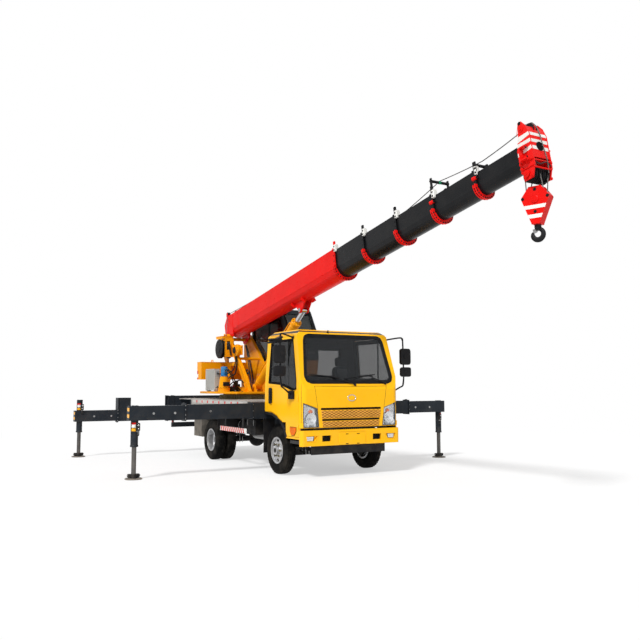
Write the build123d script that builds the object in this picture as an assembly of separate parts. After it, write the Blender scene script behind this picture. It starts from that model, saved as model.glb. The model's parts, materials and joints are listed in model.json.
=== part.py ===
"""Truck-mounted telescopic mobile crane, as it stands ready on its outriggers.

Axes: +X is the vehicle's left, +Y is its rear, +Z is up, in millimetres.
While the pieces are made, Y = 0 is the front axle and Z = 0 is the ground.
They are shifted along Y when they are written, so that the origin lies on the
ground under the middle of the whole crane.
"""
from build123d import *
import os
from math import atan2, cos, degrees, hypot, pi, radians, sin

# Running gear
WHEELBASE = 2750.0
TYRE_R = 387.5
TYRE_W = 195.0
RIM_R = 203.0
FRONT_WHEEL_X = 838.0
REAR_OUTER_X = 915.0
REAR_TWIN_GAP = 25.0
KINGPIN_X = 640.0
FRONT_NAVE = 52.0
FRONT_HUB_END = 112.0
REAR_HUB_LEN = 95.0
HUB_CAP = 14.0
KINGPIN_R = 16.0
KINGPIN_HALF = 55.0
KNUCKLE_EAR = 32.0
HUB_BORE_R = 32.0
HUB_CLEAR = 0.3

# Chassis
RAIL_X = 400.0
RAIL_W = 60.0
RAIL_H = 180.0
RAIL_TOP = 760.0
RAIL_T = 8.0
RAIL_FRONT_Y = -700.0
RAIL_REAR_Y = 4558.0
DECK_HALF_W = 1040.0
DECK_TOP = 1170.0
DECK_T = 12.0
DECK_FRONT_Y = 930.0
DECK_REAR_Y = 3770.0
SKIRT_H = 116.0
REAR_BAR_Y = 4960.0

# Outriggers
JACK_X = 3130.0
STAGE_TWO_H = 224.0
STAGE_TWO_W = 150.0
STAGE_CLEAR = 5.0
STAGE_WALL = 6.0
BOX_WALL = 8.0
FRONT_BEAM_Z = 1022.0
REAR_LOW_BEAM_Z = 829.0
FRONT_RIGHT_Y = 560.0
FRONT_LEFT_Y = 800.0
REAR_BEAM_Y = 4660.0
FRONT_BOX_END_X = 1140.0
REAR_BOX_END_X = 1280.0
FRONT_STAGE_ONE_X = 2320.0
REAR_STAGE_ONE_X = 2358.0
STAGE_ONE_LEN = 1900.0
STAGE_TWO_LAP = 700.0
TALL_BOX_LEN = 262.0
TALL_BOX_H = 244.0
FLANGE_T = 12.0
FLANGE_RIM = 18.0
JACK_R = 58.0
JACK_BORE_R = 42.0
JACK_ROD_R = 37.0
ROD_CLEAR = 0.3
JACK_BOTTOM = 515.0
JACK_TOP = 1154.0
JACK_ROD_TOP = 650.0
FOOT_R = 133.0
FOOT_T = 14.0
FOOT_SOCKET_R = 55.0
FOOT_SOCKET_TOP = 78.0

# Slewing ring and turret
SLEW_Y = 3150.0
RING_R = 620.0
RING_TEETH = 72
RING_BOTTOM = 1170.3
RING_TOP = 1262.0
BASE_BOTTOM = 1285.0
BASE_T = 40.0
PLATE_IN_X = 230.0
PLATE_T = 25.0
PIVOT_Y = 3800.0
PIVOT_Z = 2450.0
PIVOT_R = 35.0
CYL_BASE_Y = 2750.0
CYL_BASE_Z = 1430.0
WINCH_Y = 3610.0
WINCH_Z = 2228.0
WINCH_R = 203.0
WINCH_AXLE_R = 25.0
WINCH_END_X = -480.0
DRIVE_X = -640.0
DRIVE_Y = 2970.0
WEIGHT_HALF_W = 800.0
WEIGHT_FRONT_Y = 3850.0
WEIGHT_REAR_Y = 4100.0
WEIGHT_BOTTOM = 1580.0
WEIGHT_TOP = 1955.0
SEAT_CLEAR = 0.3
OPERATOR_X0 = 310.0
OPERATOR_X1 = 1020.0

# Boom, in its own frame: u runs forward from the foot pin, w runs up from it
BOOM_ANGLE = 9.5
BASE_FRONT_U = 4617.0
EXPOSED = 845.0
HEAD_U = 8760.0
BOOM_TOP_W = 512.0
BOOM_TOP_STEP = 28.0
BOOM_LOW_W = 9.0
BOOM_LOW_STEP = 14.5
BOOM_HALF_W = 200.0
BOOM_SIDE_STEP = 17.0
BOOM_SIDE_SHARE = 0.67
BOOM_WALL = 5.0
SECTION_LEN = 4400.0
COLLAR_LEN = 60.0
COLLAR_RIM = 40.0
PAD_LEN = 80.0
LUG_U = 3060.0
LUG_W = -138.0
LUG_R = 50.0
LUG_GAP = 110.0
LUG_T = 20.0
HEAD_LEN = 190.0
HEAD_HALF_W = 145.0
SHEAVE_U = 8830.0
SHEAVE_W = -22.0
SHEAVE_R = 98.0
SHEAVE_AXLE_R = 30.0
HOOK_DROP = 135.0
HOOK_HALF = 165.0
HOOK_BLOCK_LOW = -440.0
HOOK_SHANK_R = 22.0
HOOK_TWIST = 20.0

# Luffing cylinder
BARREL_R = 85.0
BARREL_LEN = 2090.0
LUFF_ROD_R = 45.0
LUFF_ROD_START = 380.0
LUFF_EYE_R = 45.0
LUFF_BASE_EYE_R = 58.0
BASE_EYE_HALF_W = 60.0
LUFF_PIN_R = 25.0

# Truck cab
CAB_HALF_W = 928.0
CAB_REAR_Y = 442.0
CAB_FRONT_Y = -865.0
CAB_FLOOR_Z = 860.0
CAB_SKIRT_Z = 785.0
CAB_TOP = 2357.0
CAB_WALL = 40.0
DOOR_GAP = 6.0
GLASS_T = 6.0
TILT_Y = -830.0
TILT_Z = 790.0
BUMPER_BOTTOM = 505.0
BUMPER_TOP = 748.0
BUMPER_FRONT_Y = -880.0
BELT_Z = 1450.0
CORNER_R = 110.0
DOOR_TOP = 2252.0
HINGE_Y = -776.0
SCREEN_LOW_X = 812.0
SCREEN_HIGH_X = 742.0
SCREEN_LOW_Z = 1512.0
SCREEN_HIGH_Z = 2250.0

parts = {}


def box(x0, x1, y0, y1, z0, z1):
    """Block between two opposite corners."""
    size = Box(x1 - x0, y1 - y0, z1 - z0)
    return Pos((x0 + x1) / 2, (y0 + y1) / 2, (z0 + z1) / 2) * size


def rod_x(r, x0, x1, y, z):
    """Round bar along X."""
    return Pos((x0 + x1) / 2, y, z) * Rot(0, 90, 0) * Cylinder(r, x1 - x0)


def rod_y(r, y0, y1, x, z):
    """Round bar along Y."""
    return Pos(x, (y0 + y1) / 2, z) * Rot(90, 0, 0) * Cylinder(r, y1 - y0)


def rod_z(r, z0, z1, x, y):
    """Round bar along Z."""
    return Pos(x, y, (z0 + z1) / 2) * Cylinder(r, z1 - z0)


def side_plate(points, x0, x1):
    """Plate with an outline in (Y, Z), from x0 to x1."""
    face = make_face(Plane.YZ * Polyline(*points, close=True))
    return Pos(x0, 0, 0) * extrude(face, x1 - x0, dir=(1, 0, 0))


def front_plate(points, y0, y1):
    """Plate with an outline in (X, Z), from y0 to y1."""
    face = make_face(Plane.XZ * Polyline(*points, close=True))
    return Pos(0, y0, 0) * extrude(face, y1 - y0, dir=(0, 1, 0))


def flat_plate(points, z0, z1):
    """Plate with an outline in (X, Y), from z0 to z1."""
    face = make_face(Polyline(*points, close=True))
    return Pos(0, 0, z0) * extrude(face, z1 - z0, dir=(0, 0, 1))


def flipped(shape):
    """The same piece on the other side of the vehicle."""
    return mirror(shape, about=Plane.YZ)


def ring_x(points):
    """Turned piece about the X axis, from an outline in (X, radius)."""
    face = make_face(Polyline(*points, close=True))
    return revolve(face, Axis.X)


# Wheels

def tyre():
    """Tyre about the X axis, from bead to tread."""
    half = TYRE_W / 2
    tread = half * 0.80
    bead = half * 0.74
    low = RIM_R + 1.0
    wide_r = (low + TYRE_R) / 2
    shoulder = TYRE_R - 22
    outline = [(bead, low), (bead, RIM_R + 15), (half - 3, wide_r - 30), (half, wide_r),
               (half - 6, wide_r + 45), (tread + 6, shoulder),
               (tread - 8, TYRE_R - 4), (0, TYRE_R), (8 - tread, TYRE_R - 4), (-tread - 6, shoulder),
               (6 - half, wide_r + 45), (-half, wide_r), (3 - half, wide_r - 30), (-bead, RIM_R + 15),
               (-bead, low), (16 - bead, low),
               (16 - half, wide_r), (16 - tread, TYRE_R - 34), (tread - 16, TYRE_R - 34),
               (half - 16, wide_r), (bead - 16, low)]
    return ring_x(outline)


def rim(nave_x, hub_r, hub_end, hole_count=6):
    """Wheel rim and disc; nave_x is the disc's middle from the rim's middle plane."""
    half = TYRE_W / 2 * 0.74
    t = 9.0
    toward = 1 if nave_x > 0 else -1
    hoop = ring_x([(-half - t, RIM_R + 14), (-half - 0.5, RIM_R + 14), (-half - 0.5, RIM_R),
                   (half + 0.5, RIM_R),
                   (half + 0.5, RIM_R + 14), (half + t, RIM_R + 14), (half + t, RIM_R - 9),
                   (-half - t, RIM_R - 9)])
    edge = half - 30
    nave = abs(nave_x)
    outline = [(edge, RIM_R - 8), (edge, RIM_R - 24), (nave - 5, 128), (nave - 5, HUB_BORE_R + HUB_CLEAR),
               (nave + 6, HUB_BORE_R + HUB_CLEAR), (nave + 6, 132), (edge + 11, RIM_R - 8)]
    disc = ring_x([(toward * x, r) for x, r in outline])
    wheel = hoop + disc
    hand_r = 152.0
    reach = abs(nave_x) + half
    for i in range(hole_count):
        angle = 2 * pi * (i + 0.5) / hole_count
        wheel -= rod_x(19, -reach, reach, hand_r * cos(angle), hand_r * sin(angle))
    return wheel + rod_x(hub_r, min(nave_x, hub_end), max(nave_x, hub_end), 0, 0)


def make_wheels():
    inner_x = REAR_OUTER_X - TYRE_W - REAR_TWIN_GAP
    nave = (REAR_OUTER_X - inner_x) / 2
    for side, sign in (("left", 1), ("right", -1)):
        place = Pos(FRONT_WHEEL_X, 0, TYRE_R)
        one_tyre = place * tyre()
        bore = HUB_BORE_R + HUB_CLEAR
        one_rim = place * rim(FRONT_NAVE, 74.0, FRONT_HUB_END)
        one_rim -= rod_x(bore, FRONT_WHEEL_X - 100, FRONT_WHEEL_X + FRONT_HUB_END - HUB_CAP, 0, TYRE_R)
        outer = Pos(REAR_OUTER_X, WHEELBASE, TYRE_R)
        inner = Pos(inner_x, WHEELBASE, TYRE_R)
        tyres = Compound(children=[outer * tyre(), inner * tyre()])
        rims = outer * rim(-nave + 5.5, 90.0, -nave + REAR_HUB_LEN) + inner * rim(nave - 5.5, 90.0, nave)
        rims -= rod_x(bore, inner_x - 100, REAR_OUTER_X - nave + REAR_HUB_LEN - HUB_CAP, WHEELBASE, TYRE_R)
        pieces = (("tyre_front_", one_tyre), ("rim_front_", one_rim), ("tyres_rear_", tyres),
                  ("rims_rear_", rims))
        for node, shape in pieces:
            parts[node + side] = shape if sign > 0 else flipped(shape)


# Axles, springs and knuckles

def make_axles():
    beam_z = TYRE_R - 20
    spring_x = RAIL_X - 25
    beam = box(-KINGPIN_X + 60, KINGPIN_X - 60, -30, 30, beam_z - 75, beam_z - 20)
    for side in (-1, 1):
        x = side * KINGPIN_X
        beam += rod_z(38, TYRE_R - KINGPIN_HALF, TYRE_R + KINGPIN_HALF, x, 0)
        low, high = sorted((side * (KINGPIN_X - 130), side * (KINGPIN_X - 60)))
        beam += box(low, high, -30, 30, beam_z - 75, beam_z + 20)
        low, high = sorted((side * (KINGPIN_X - 61), side * KINGPIN_X))
        beam += box(low, high, -28, 28, beam_z - 25, beam_z + 20)
        beam += rod_z(KINGPIN_R, TYRE_R - KINGPIN_HALF - KNUCKLE_EAR, TYRE_R + KINGPIN_HALF + KNUCKLE_EAR,
                      x, 0)
        low, high = sorted((side * (spring_x - 32), side * (spring_x + 32)))
        beam += box(low, high, -60, 60, beam_z - 60, TYRE_R - 15)
    housing = rod_x(55, -560, 560, WHEELBASE, TYRE_R)
    housing += Pos(0, WHEELBASE, TYRE_R) * Sphere(165)
    stub = REAR_OUTER_X - (TYRE_W + REAR_TWIN_GAP) / 2 + REAR_HUB_LEN - HUB_CAP - HUB_CLEAR
    housing += rod_x(HUB_BORE_R, -stub, stub, WHEELBASE, TYRE_R)
    housing += rod_y(45, 700, WHEELBASE - 100, 0, TYRE_R + 60)
    for y in (0.0, WHEELBASE):
        for x in (-spring_x, spring_x):
            seat = TYRE_R - 20 if y == 0.0 else TYRE_R + 50
            leaves = box(x - 32, x + 32, y - 560, y + 560, seat, seat + 16)
            leaves += box(x - 32, x + 32, y - 380, y + 380, seat + 16, seat + 32)
            leaves += box(x - 32, x + 32, y - 200, y + 200, seat + 32, seat + 52)
            for end in (-530, 530):
                leaves += box(x - 25, x + 25, y + end - 25, y + end + 25, seat + 8,
                              RAIL_TOP - RAIL_H - SEAT_CLEAR)
            if y == 0.0:
                beam += leaves
            else:
                housing += leaves
    parts["axles"] = Compound(children=[beam, housing])


def make_knuckles():
    """Front knuckle: ears round the kingpin, brake drum and the wheel's stub."""
    z_low, z_high = TYRE_R - KINGPIN_HALF, TYRE_R + KINGPIN_HALF
    ear_low, ear_high = z_low - KNUCKLE_EAR, z_high + KNUCKLE_EAR
    knuckle = box(688, 712, -60, 60, ear_low, ear_high)
    for z0, z1 in ((ear_low, z_low - HUB_CLEAR), (z_high + HUB_CLEAR, ear_high)):
        ear = rod_z(42, z0, z1, KINGPIN_X, 0) + box(KINGPIN_X, 700, -42, 42, z0, z1)
        knuckle += ear - rod_z(KINGPIN_R + HUB_CLEAR, z0 - 1, z1 + 1, KINGPIN_X, 0)
    knuckle += rod_x(150, 712, 742, 0, TYRE_R)
    stub_end = FRONT_WHEEL_X + FRONT_HUB_END - HUB_CAP - HUB_CLEAR
    knuckle += rod_x(HUB_BORE_R, 712, stub_end, 0, TYRE_R)
    parts["knuckle_left"] = knuckle
    parts["knuckle_right"] = flipped(knuckle)


# Chassis

def make_chassis():
    low = RAIL_TOP - RAIL_H
    frame = None
    for sign in (-1, 1):
        web = box(*sorted((sign * RAIL_X, sign * (RAIL_X - RAIL_T))), RAIL_FRONT_Y, RAIL_REAR_Y, low,
                  RAIL_TOP)
        flange = sorted((sign * RAIL_X, sign * (RAIL_X - RAIL_W)))
        top = box(*flange, RAIL_FRONT_Y, RAIL_REAR_Y, RAIL_TOP - RAIL_T, RAIL_TOP)
        bottom = box(*flange, RAIL_FRONT_Y, RAIL_REAR_Y, low, low + RAIL_T)
        rail = web + top + bottom
        frame = rail if frame is None else frame + rail
    for y in (-660.0, 760.0, 1500.0, 2200.0, 3300.0, 4300.0):
        frame += box(-RAIL_X, RAIL_X, y - 30, y + 30, low + 30, RAIL_TOP - 30)
    engine = box(-230, 230, -360, 480, 490, CAB_FLOOR_Z - 60)
    mount = RAIL_X - RAIL_T - SEAT_CLEAR
    engine += box(-mount, mount, -20, 20, 620, 680)
    parts["chassis_frame"] = Compound(children=[frame, engine])
    tank = box(430, 760, 1180, 1820, 560, 860)
    tank = fillet(tank.edges().filter_by(Axis.Y), 60)
    battery = box(-760, -430, 1180, 1560, 560, 830)
    near = RAIL_X + SEAT_CLEAR
    brackets = box(near, 440, 1250, 1300, 630, 740) + box(near, 440, 1700, 1750, 630, 740)
    parts["fuel_tank"] = Compound(children=[tank + brackets,
                                            battery + box(-440, -near, 1250, 1500, 600, 740)])


def make_deck():
    rear = REAR_BEAM_Y - BOX_W / 2 - 12
    deck = box(-DECK_HALF_W, DECK_HALF_W, DECK_FRONT_Y, rear, DECK_TOP - DECK_T, DECK_TOP)
    for sign in (-1, 1):
        x0, x1 = sorted((sign * DECK_HALF_W, sign * (DECK_HALF_W - 6)))
        deck += box(x0, x1, DECK_FRONT_Y, DECK_REAR_Y, DECK_TOP - SKIRT_H, DECK_TOP)
    parts["deck"] = deck


# Outriggers

STAGE_ONE_W = STAGE_TWO_W + 2 * (STAGE_CLEAR + STAGE_WALL)
STAGE_ONE_H = STAGE_TWO_H + 2 * (STAGE_CLEAR + STAGE_WALL)
BOX_W = STAGE_ONE_W + 2 * (STAGE_CLEAR + BOX_WALL)
BOX_H = STAGE_ONE_H + 2 * (STAGE_CLEAR + BOX_WALL)
REAR_HIGH_BEAM_Z = REAR_LOW_BEAM_Z + BOX_H - BOX_WALL
REAR_BOX_Z = (REAR_LOW_BEAM_Z + REAR_HIGH_BEAM_Z) / 2
REAR_BOX_H = BOX_H * 2 - BOX_WALL
MID_WALL_X = 1000.0

# name, side (+1 left), place along Y, beam height, end of its box, flange of stage one,
# tall end box (+1 above the beam, -1 below it)
OUTRIGGERS = [
    ("front_right", -1, FRONT_RIGHT_Y, FRONT_BEAM_Z, FRONT_BOX_END_X, FRONT_STAGE_ONE_X, 0),
    ("front_left", 1, FRONT_LEFT_Y, FRONT_BEAM_Z, FRONT_BOX_END_X, FRONT_STAGE_ONE_X, 0),
    ("rear_right", -1, REAR_BEAM_Y, REAR_LOW_BEAM_Z, REAR_BOX_END_X, REAR_STAGE_ONE_X, 1),
    ("rear_left", 1, REAR_BEAM_Y, REAR_HIGH_BEAM_Z, REAR_BOX_END_X, REAR_STAGE_ONE_X, -1),
]


def tube_x(x0, x1, y, z, w, h, wall):
    """Rectangular tube along X."""
    outer = box(x0, x1, y - w / 2, y + w / 2, z - h / 2, z + h / 2)
    inner = box(x0 - 1, x1 + 1, y - w / 2 + wall, y + w / 2 - wall, z - h / 2 + wall, z + h / 2 - wall)
    return outer - inner


def end_flange(x, y, z, w, h, inner_w, inner_h):
    """Flange plate round a tube's end, standing outwards from x."""
    plate = box(x, x + FLANGE_T, y - w / 2, y + w / 2, z - h / 2, z + h / 2)
    return plate - box(x - 1, x + FLANGE_T + 1, y - inner_w / 2, y + inner_w / 2, z - inner_h / 2,
                       z + inner_h / 2)


def slide_pads(x0, x1, y, z, w, h, gap, above=True):
    """Pads that fill the running gap below and above a beam."""
    pads = box(x0, x1, y - w / 2 + 10, y + w / 2 - 10, z - h / 2 - gap, z - h / 2 - SEAT_CLEAR)
    if above:
        pads += box(x0, x1, y - w / 2 + 10, y + w / 2 - 10, z + h / 2 + SEAT_CLEAR, z + h / 2 + gap)
    return pads


def stage_one(y, z, flange_x, tall):
    beam = tube_x(flange_x - STAGE_ONE_LEN, flange_x, y, z, STAGE_ONE_W, STAGE_ONE_H, STAGE_WALL)
    bore_w = STAGE_ONE_W - 2 * STAGE_WALL
    bore_h = STAGE_ONE_H - 2 * STAGE_WALL
    wide = STAGE_ONE_W + 2 * FLANGE_RIM
    beam += end_flange(flange_x, y, z, wide, STAGE_ONE_H + 2 * FLANGE_RIM, bore_w, bore_h)
    beam += slide_pads(flange_x, flange_x + FLANGE_T, y, z, STAGE_TWO_W, STAGE_TWO_H, STAGE_CLEAR + 1)
    root = flange_x - STAGE_ONE_LEN
    side = tall if tall else 1
    face = z + side * (STAGE_ONE_H / 2)
    low, high = sorted((face - side, face + side * (STAGE_CLEAR - SEAT_CLEAR)))
    beam += box(root, root + 80, y - STAGE_ONE_W / 2 + 10, y + STAGE_ONE_W / 2 - 10, low, high)
    if tall:
        low, high = sorted((z + tall * STAGE_ONE_H / 2, z + tall * (STAGE_ONE_H / 2 + TALL_BOX_H)))
        half = STAGE_ONE_W / 2
        extra = box(flange_x - TALL_BOX_LEN, flange_x, y - half, y + half, low, high)
        extra -= box(flange_x - TALL_BOX_LEN - 1, flange_x - 8, y - half + 8, y + half - 8, low + 8, high - 8)
        beam += extra + box(flange_x, flange_x + FLANGE_T, y - wide / 2, y + wide / 2, low, high)
    return beam


def stage_two(y, z, flange_x, housing_top):
    end = JACK_X + 100
    half_w, half_h = STAGE_TWO_W / 2, STAGE_TWO_H / 2
    beam = tube_x(flange_x - STAGE_TWO_LAP, end, y, z, STAGE_TWO_W, STAGE_TWO_H, STAGE_WALL)
    beam += box(end - 10, end, y - half_w, y + half_w, z - half_h, z + half_h)
    beam += rod_z(JACK_R, JACK_BOTTOM, housing_top, JACK_X, y)
    beam -= rod_z(JACK_BORE_R, JACK_BOTTOM - 1, housing_top - 20, JACK_X, y)
    gland = rod_z(JACK_R + 4, JACK_BOTTOM - 16, JACK_BOTTOM + 10, JACK_X, y)
    beam += gland - rod_z(JACK_ROD_R + ROD_CLEAR, JACK_BOTTOM - 20, JACK_BOTTOM + 20, JACK_X, y)
    root = flange_x - STAGE_TWO_LAP
    beam += box(root, root + 80, y - half_w + 10, y + half_w - 10, z + half_h - 1,
                z + half_h + STAGE_CLEAR - SEAT_CLEAR)
    return beam


def make_outriggers():
    for name, sign, y, z, box_end, flange_x, tall in OUTRIGGERS:
        housing_top = max(JACK_TOP if tall else 0, z + STAGE_TWO_H / 2)
        one = stage_one(y, z, flange_x, tall)
        two = stage_two(y, z, flange_x, housing_top)
        jack = rod_z(FOOT_R, 0, FOOT_T, JACK_X, y) + rod_z(FOOT_SOCKET_R, FOOT_T, FOOT_SOCKET_TOP, JACK_X, y)
        jack += rod_z(JACK_ROD_R, FOOT_SOCKET_TOP, JACK_ROD_TOP, JACK_X, y)
        for node, shape in (("outrigger_one_", one), ("outrigger_two_", two), ("jack_", jack)):
            parts[node + name] = shape if sign > 0 else flipped(shape)


def make_outrigger_boxes():
    """Cross boxes for the four beams, the frame that ties them and the rear bar."""
    frame = None
    inner_w = BOX_W - 2 * BOX_WALL
    for name, sign, y, z, box_end, flange_x, tall in OUTRIGGERS:
        if tall:
            continue
        tube = tube_x(-box_end + 100, box_end, y, z, BOX_W, BOX_H, BOX_WALL)
        tube += end_flange(box_end, y, z, BOX_W + FLANGE_RIM, BOX_H, inner_w, BOX_H - 2 * BOX_WALL)
        tube += slide_pads(box_end, box_end + FLANGE_T, y, z, STAGE_ONE_W, STAGE_ONE_H, STAGE_CLEAR + 1)
        tube = tube if sign > 0 else flipped(tube)
        frame = tube if frame is None else frame + tube
    rear = tube_x(-REAR_BOX_END_X, REAR_BOX_END_X, REAR_BEAM_Y, REAR_BOX_Z, BOX_W, REAR_BOX_H, BOX_WALL)
    rear += box(-MID_WALL_X, MID_WALL_X, REAR_BEAM_Y - BOX_W / 2, REAR_BEAM_Y + BOX_W / 2,
                REAR_BOX_Z - BOX_WALL / 2, REAR_BOX_Z + BOX_WALL / 2)
    for name, sign, y, z, box_end, flange_x, tall in OUTRIGGERS:
        if not tall:
            continue
        end = end_flange(box_end, y, REAR_BOX_Z, BOX_W + FLANGE_RIM, REAR_BOX_H + FLANGE_RIM, inner_w,
                         REAR_BOX_H - 2 * BOX_WALL)
        end += end_flange(box_end - 130, y, REAR_BOX_Z, BOX_W + FLANGE_RIM, REAR_BOX_H + FLANGE_RIM,
                          BOX_W - BOX_WALL, REAR_BOX_H - BOX_WALL)
        floor = z - STAGE_ONE_H / 2
        pad_x = box_end if tall > 0 else MID_WALL_X
        end += box(pad_x - 60, pad_x + (FLANGE_T if tall > 0 else 0), y - STAGE_ONE_W / 2 + 10,
                   y + STAGE_ONE_W / 2 - 10,
                   floor - STAGE_CLEAR - 1, floor - SEAT_CLEAR)
        rear += end if sign > 0 else flipped(end)
    bar_z = 585.0
    rear += box(-1080, 1080, REAR_BAR_Y - 60, REAR_BAR_Y, bar_z - 50, bar_z + 50)
    for x in (-360, 360):
        rear += box(x - 40, x + 40, REAR_BEAM_Y + 30, REAR_BAR_Y - 10, bar_z - 30, bar_z + 120)
    frame += rear
    sub_low = RAIL_TOP + SEAT_CLEAR
    sub_high = DECK_TOP - DECK_T - SEAT_CLEAR
    front_floor = FRONT_BEAM_Z - BOX_H / 2 + 4
    for x0, x1 in ((-RAIL_X, -RAIL_X + 110), (RAIL_X - 110, RAIL_X)):
        frame += box(x0, x1, FRONT_LEFT_Y + BOX_W / 2 - 4, REAR_BEAM_Y - BOX_W / 2 + 4, sub_low, sub_high)
        frame += box(x0, x1, FRONT_RIGHT_Y - BOX_W / 2, FRONT_LEFT_Y + BOX_W / 2, sub_low, front_floor)
        frame += box(x0, x1, FRONT_RIGHT_Y + BOX_W / 2 - 4, FRONT_LEFT_Y - BOX_W / 2 + 4, front_floor,
                     front_floor + 120)
    for y in (1500.0, 2450.0, 3850.0):
        frame += box(-DECK_HALF_W + 12, DECK_HALF_W - 12, y - 40, y + 40, sub_high - 90, sub_high)
    frame += box(-RAIL_X, RAIL_X, SLEW_Y - 520, SLEW_Y + 520, sub_high - 60, sub_high)
    parts["outrigger_boxes"] = frame


def make_guards():
    """Mudguards and flaps over the rear wheels, side guards ahead of them."""
    pieces = []
    under = DECK_TOP - DECK_T - SEAT_CLEAR
    for sign in (-1, 1):
        wide = sorted((sign * 560, sign * 1030))
        top = box(*wide, WHEELBASE - 430, WHEELBASE + 430, 900, 912)
        flap = box(*sorted((sign * 600, sign * 1030)), WHEELBASE + 424, WHEELBASE + 430, 420, 905)
        front = box(*wide, WHEELBASE - 430, WHEELBASE - 424, 640, 905)
        hanger = box(*sorted((sign * 560, sign * 600)), WHEELBASE - 40, WHEELBASE + 40, 912, under)
        pieces.append(top + flap + front + hanger)
        rail = box(*sorted((sign * 996, sign * 1004)), 1020, 2290, 600, 690)
        posts = box(*sorted((sign * 980, sign * 996)), 1180, 1240, 600, under)
        posts += box(*sorted((sign * 980, sign * 996)), 1990, 2050, 600, under)
        pieces.append(rail + posts)
        front_flap = box(*sorted((sign * 720, sign * 925)), 492, 498, 310, 880)
        front_flap += box(*sorted((sign * 700, sign * 925)), 492, 520, 860, FRONT_BEAM_Z - BOX_H / 2
                          - SEAT_CLEAR)
        pieces.append(front_flap)
    parts["guards"] = Compound(children=pieces)


# Turret

def make_turret():
    rim_x = 800.0
    top = BASE_BOTTOM + BASE_T
    clear = SEAT_CLEAR
    outline = [(-rim_x, 2880), (-560, 2460), (560, 2460), (rim_x, 2880), (rim_x, 3900), (620, 4130),
               (-620, 4130), (-rim_x, 3900)]
    turret = flat_plate(outline, BASE_BOTTOM, top)
    turret += rod_z(540, RING_TOP + clear, BASE_BOTTOM + 1, 0, SLEW_Y)
    weight_front = WEIGHT_FRONT_Y - clear
    edge = [(2500, top - 1), (2560, top + 60), (2690, 1590), (3240, 2160), (3700, 2550), (3870, 2560),
            (3935, 2480), (3935, 2060),
            (weight_front, WEIGHT_TOP), (weight_front, WEIGHT_BOTTOM - clear),
            (WEIGHT_REAR_Y - 20, WEIGHT_BOTTOM - clear), (WEIGHT_REAR_Y - 20, top - 1)]
    left = side_plate(edge, PLATE_IN_X, PLATE_IN_X + PLATE_T)
    window_low = [(2800, 1420), (3640, 1420), (3560, 1860), (3160, 1860)]
    window_mid = [(3290, 1950), (3700, 1950), (3740, 2330), (3640, 2330)]
    outer_x = -PLATE_IN_X - PLATE_T
    right = flipped(left)
    right -= side_plate(window_low, outer_x - 1, -PLATE_IN_X + 1)
    right -= side_plate(window_mid, outer_x - 1, -PLATE_IN_X + 1)
    pin = rod_x(PIVOT_R, outer_x - 20, -outer_x + 20, PIVOT_Y, PIVOT_Z)
    turret += left + right + pin
    turret += rod_x(28, -PLATE_IN_X - 1, PLATE_IN_X + 1, 3160, 2010)
    lug_in = BASE_EYE_HALF_W
    for x0, x1 in ((-lug_in - 22, -lug_in), (lug_in, lug_in + 22)):
        lug = [(CYL_BASE_Y - 110, top - 1), (CYL_BASE_Y + 130, top - 1), (CYL_BASE_Y + 55, CYL_BASE_Z + 45),
               (CYL_BASE_Y - 40, CYL_BASE_Z + 45)]
        turret += side_plate(lug, x0, x1)
    turret += rod_x(LUFF_PIN_R, -lug_in - 34, lug_in + 34, CYL_BASE_Y, CYL_BASE_Z)
    # Winch frame outside the right plate
    z = WINCH_Z
    cap = box(WINCH_END_X, outer_x + 1, WINCH_Y - 140, WINCH_Y + 220, z + 214, z + 262)
    end_plate = side_plate([(WINCH_Y - 70, z + 220), (WINCH_Y - 45, z - 20), (WINCH_Y, z - 50),
                            (WINCH_Y + 45, z - 20),
                            (WINCH_Y + 90, z + 220)], WINCH_END_X, WINCH_END_X + 14)
    nose = side_plate([(2960, 2080), (3260, 2080), (3460, 2300), (3300, 2300), (2960, 2280)], outer_x,
                      -PLATE_IN_X - 4)
    turret += cap + end_plate + nose
    turret += rod_x(WINCH_AXLE_R, WINCH_END_X, outer_x + 1, WINCH_Y, z)
    parts["turret"] = turret
    parts["counterweight"] = box(-WEIGHT_HALF_W, WEIGHT_HALF_W, WEIGHT_FRONT_Y, WEIGHT_REAR_Y,
                                 WEIGHT_BOTTOM, WEIGHT_TOP)
    gear = rod_z(118, top + clear, top + 66, DRIVE_X, DRIVE_Y)
    gear += Pos(DRIVE_X, DRIVE_Y, top + 65 + 128) * Cone(110, 84, 256)
    gear += rod_z(68, top + 320, top + 505, DRIVE_X, DRIVE_Y)
    cooler = box(-800, -700, 3080, 3570, top + 25, 1785)
    cooler += box(-790, -710, 3100, 3140, top + clear, top + 30) + box(-790, -710, 3510, 3550,
                                                                       top + clear, top + 30)
    parts["oil_cooler"] = cooler
    drum_x0, drum_x1 = WINCH_END_X + 14 + clear, outer_x - clear
    drum = rod_x(150, drum_x0 + 6, drum_x1 - 6, WINCH_Y, z)
    drum += rod_x(WINCH_R, drum_x0 + 6, drum_x0 + 24, WINCH_Y, z) + rod_x(WINCH_R, drum_x1 - 24,
                                                                          drum_x1 - 6, WINCH_Y, z)
    drum += rod_x(WINCH_AXLE_R + 14, drum_x0, drum_x1, WINCH_Y, z)
    drum -= rod_x(WINCH_AXLE_R + clear, drum_x0 - 1, drum_x1 + 1, WINCH_Y, z)
    parts["winch_drum"] = drum
    motor = rod_x(118, -340, outer_x - clear, 3090, 2180)
    motor += rod_x(70, -372, -339, 3090, 2180)
    parts["drives"] = Compound(children=[gear, motor])


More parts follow.
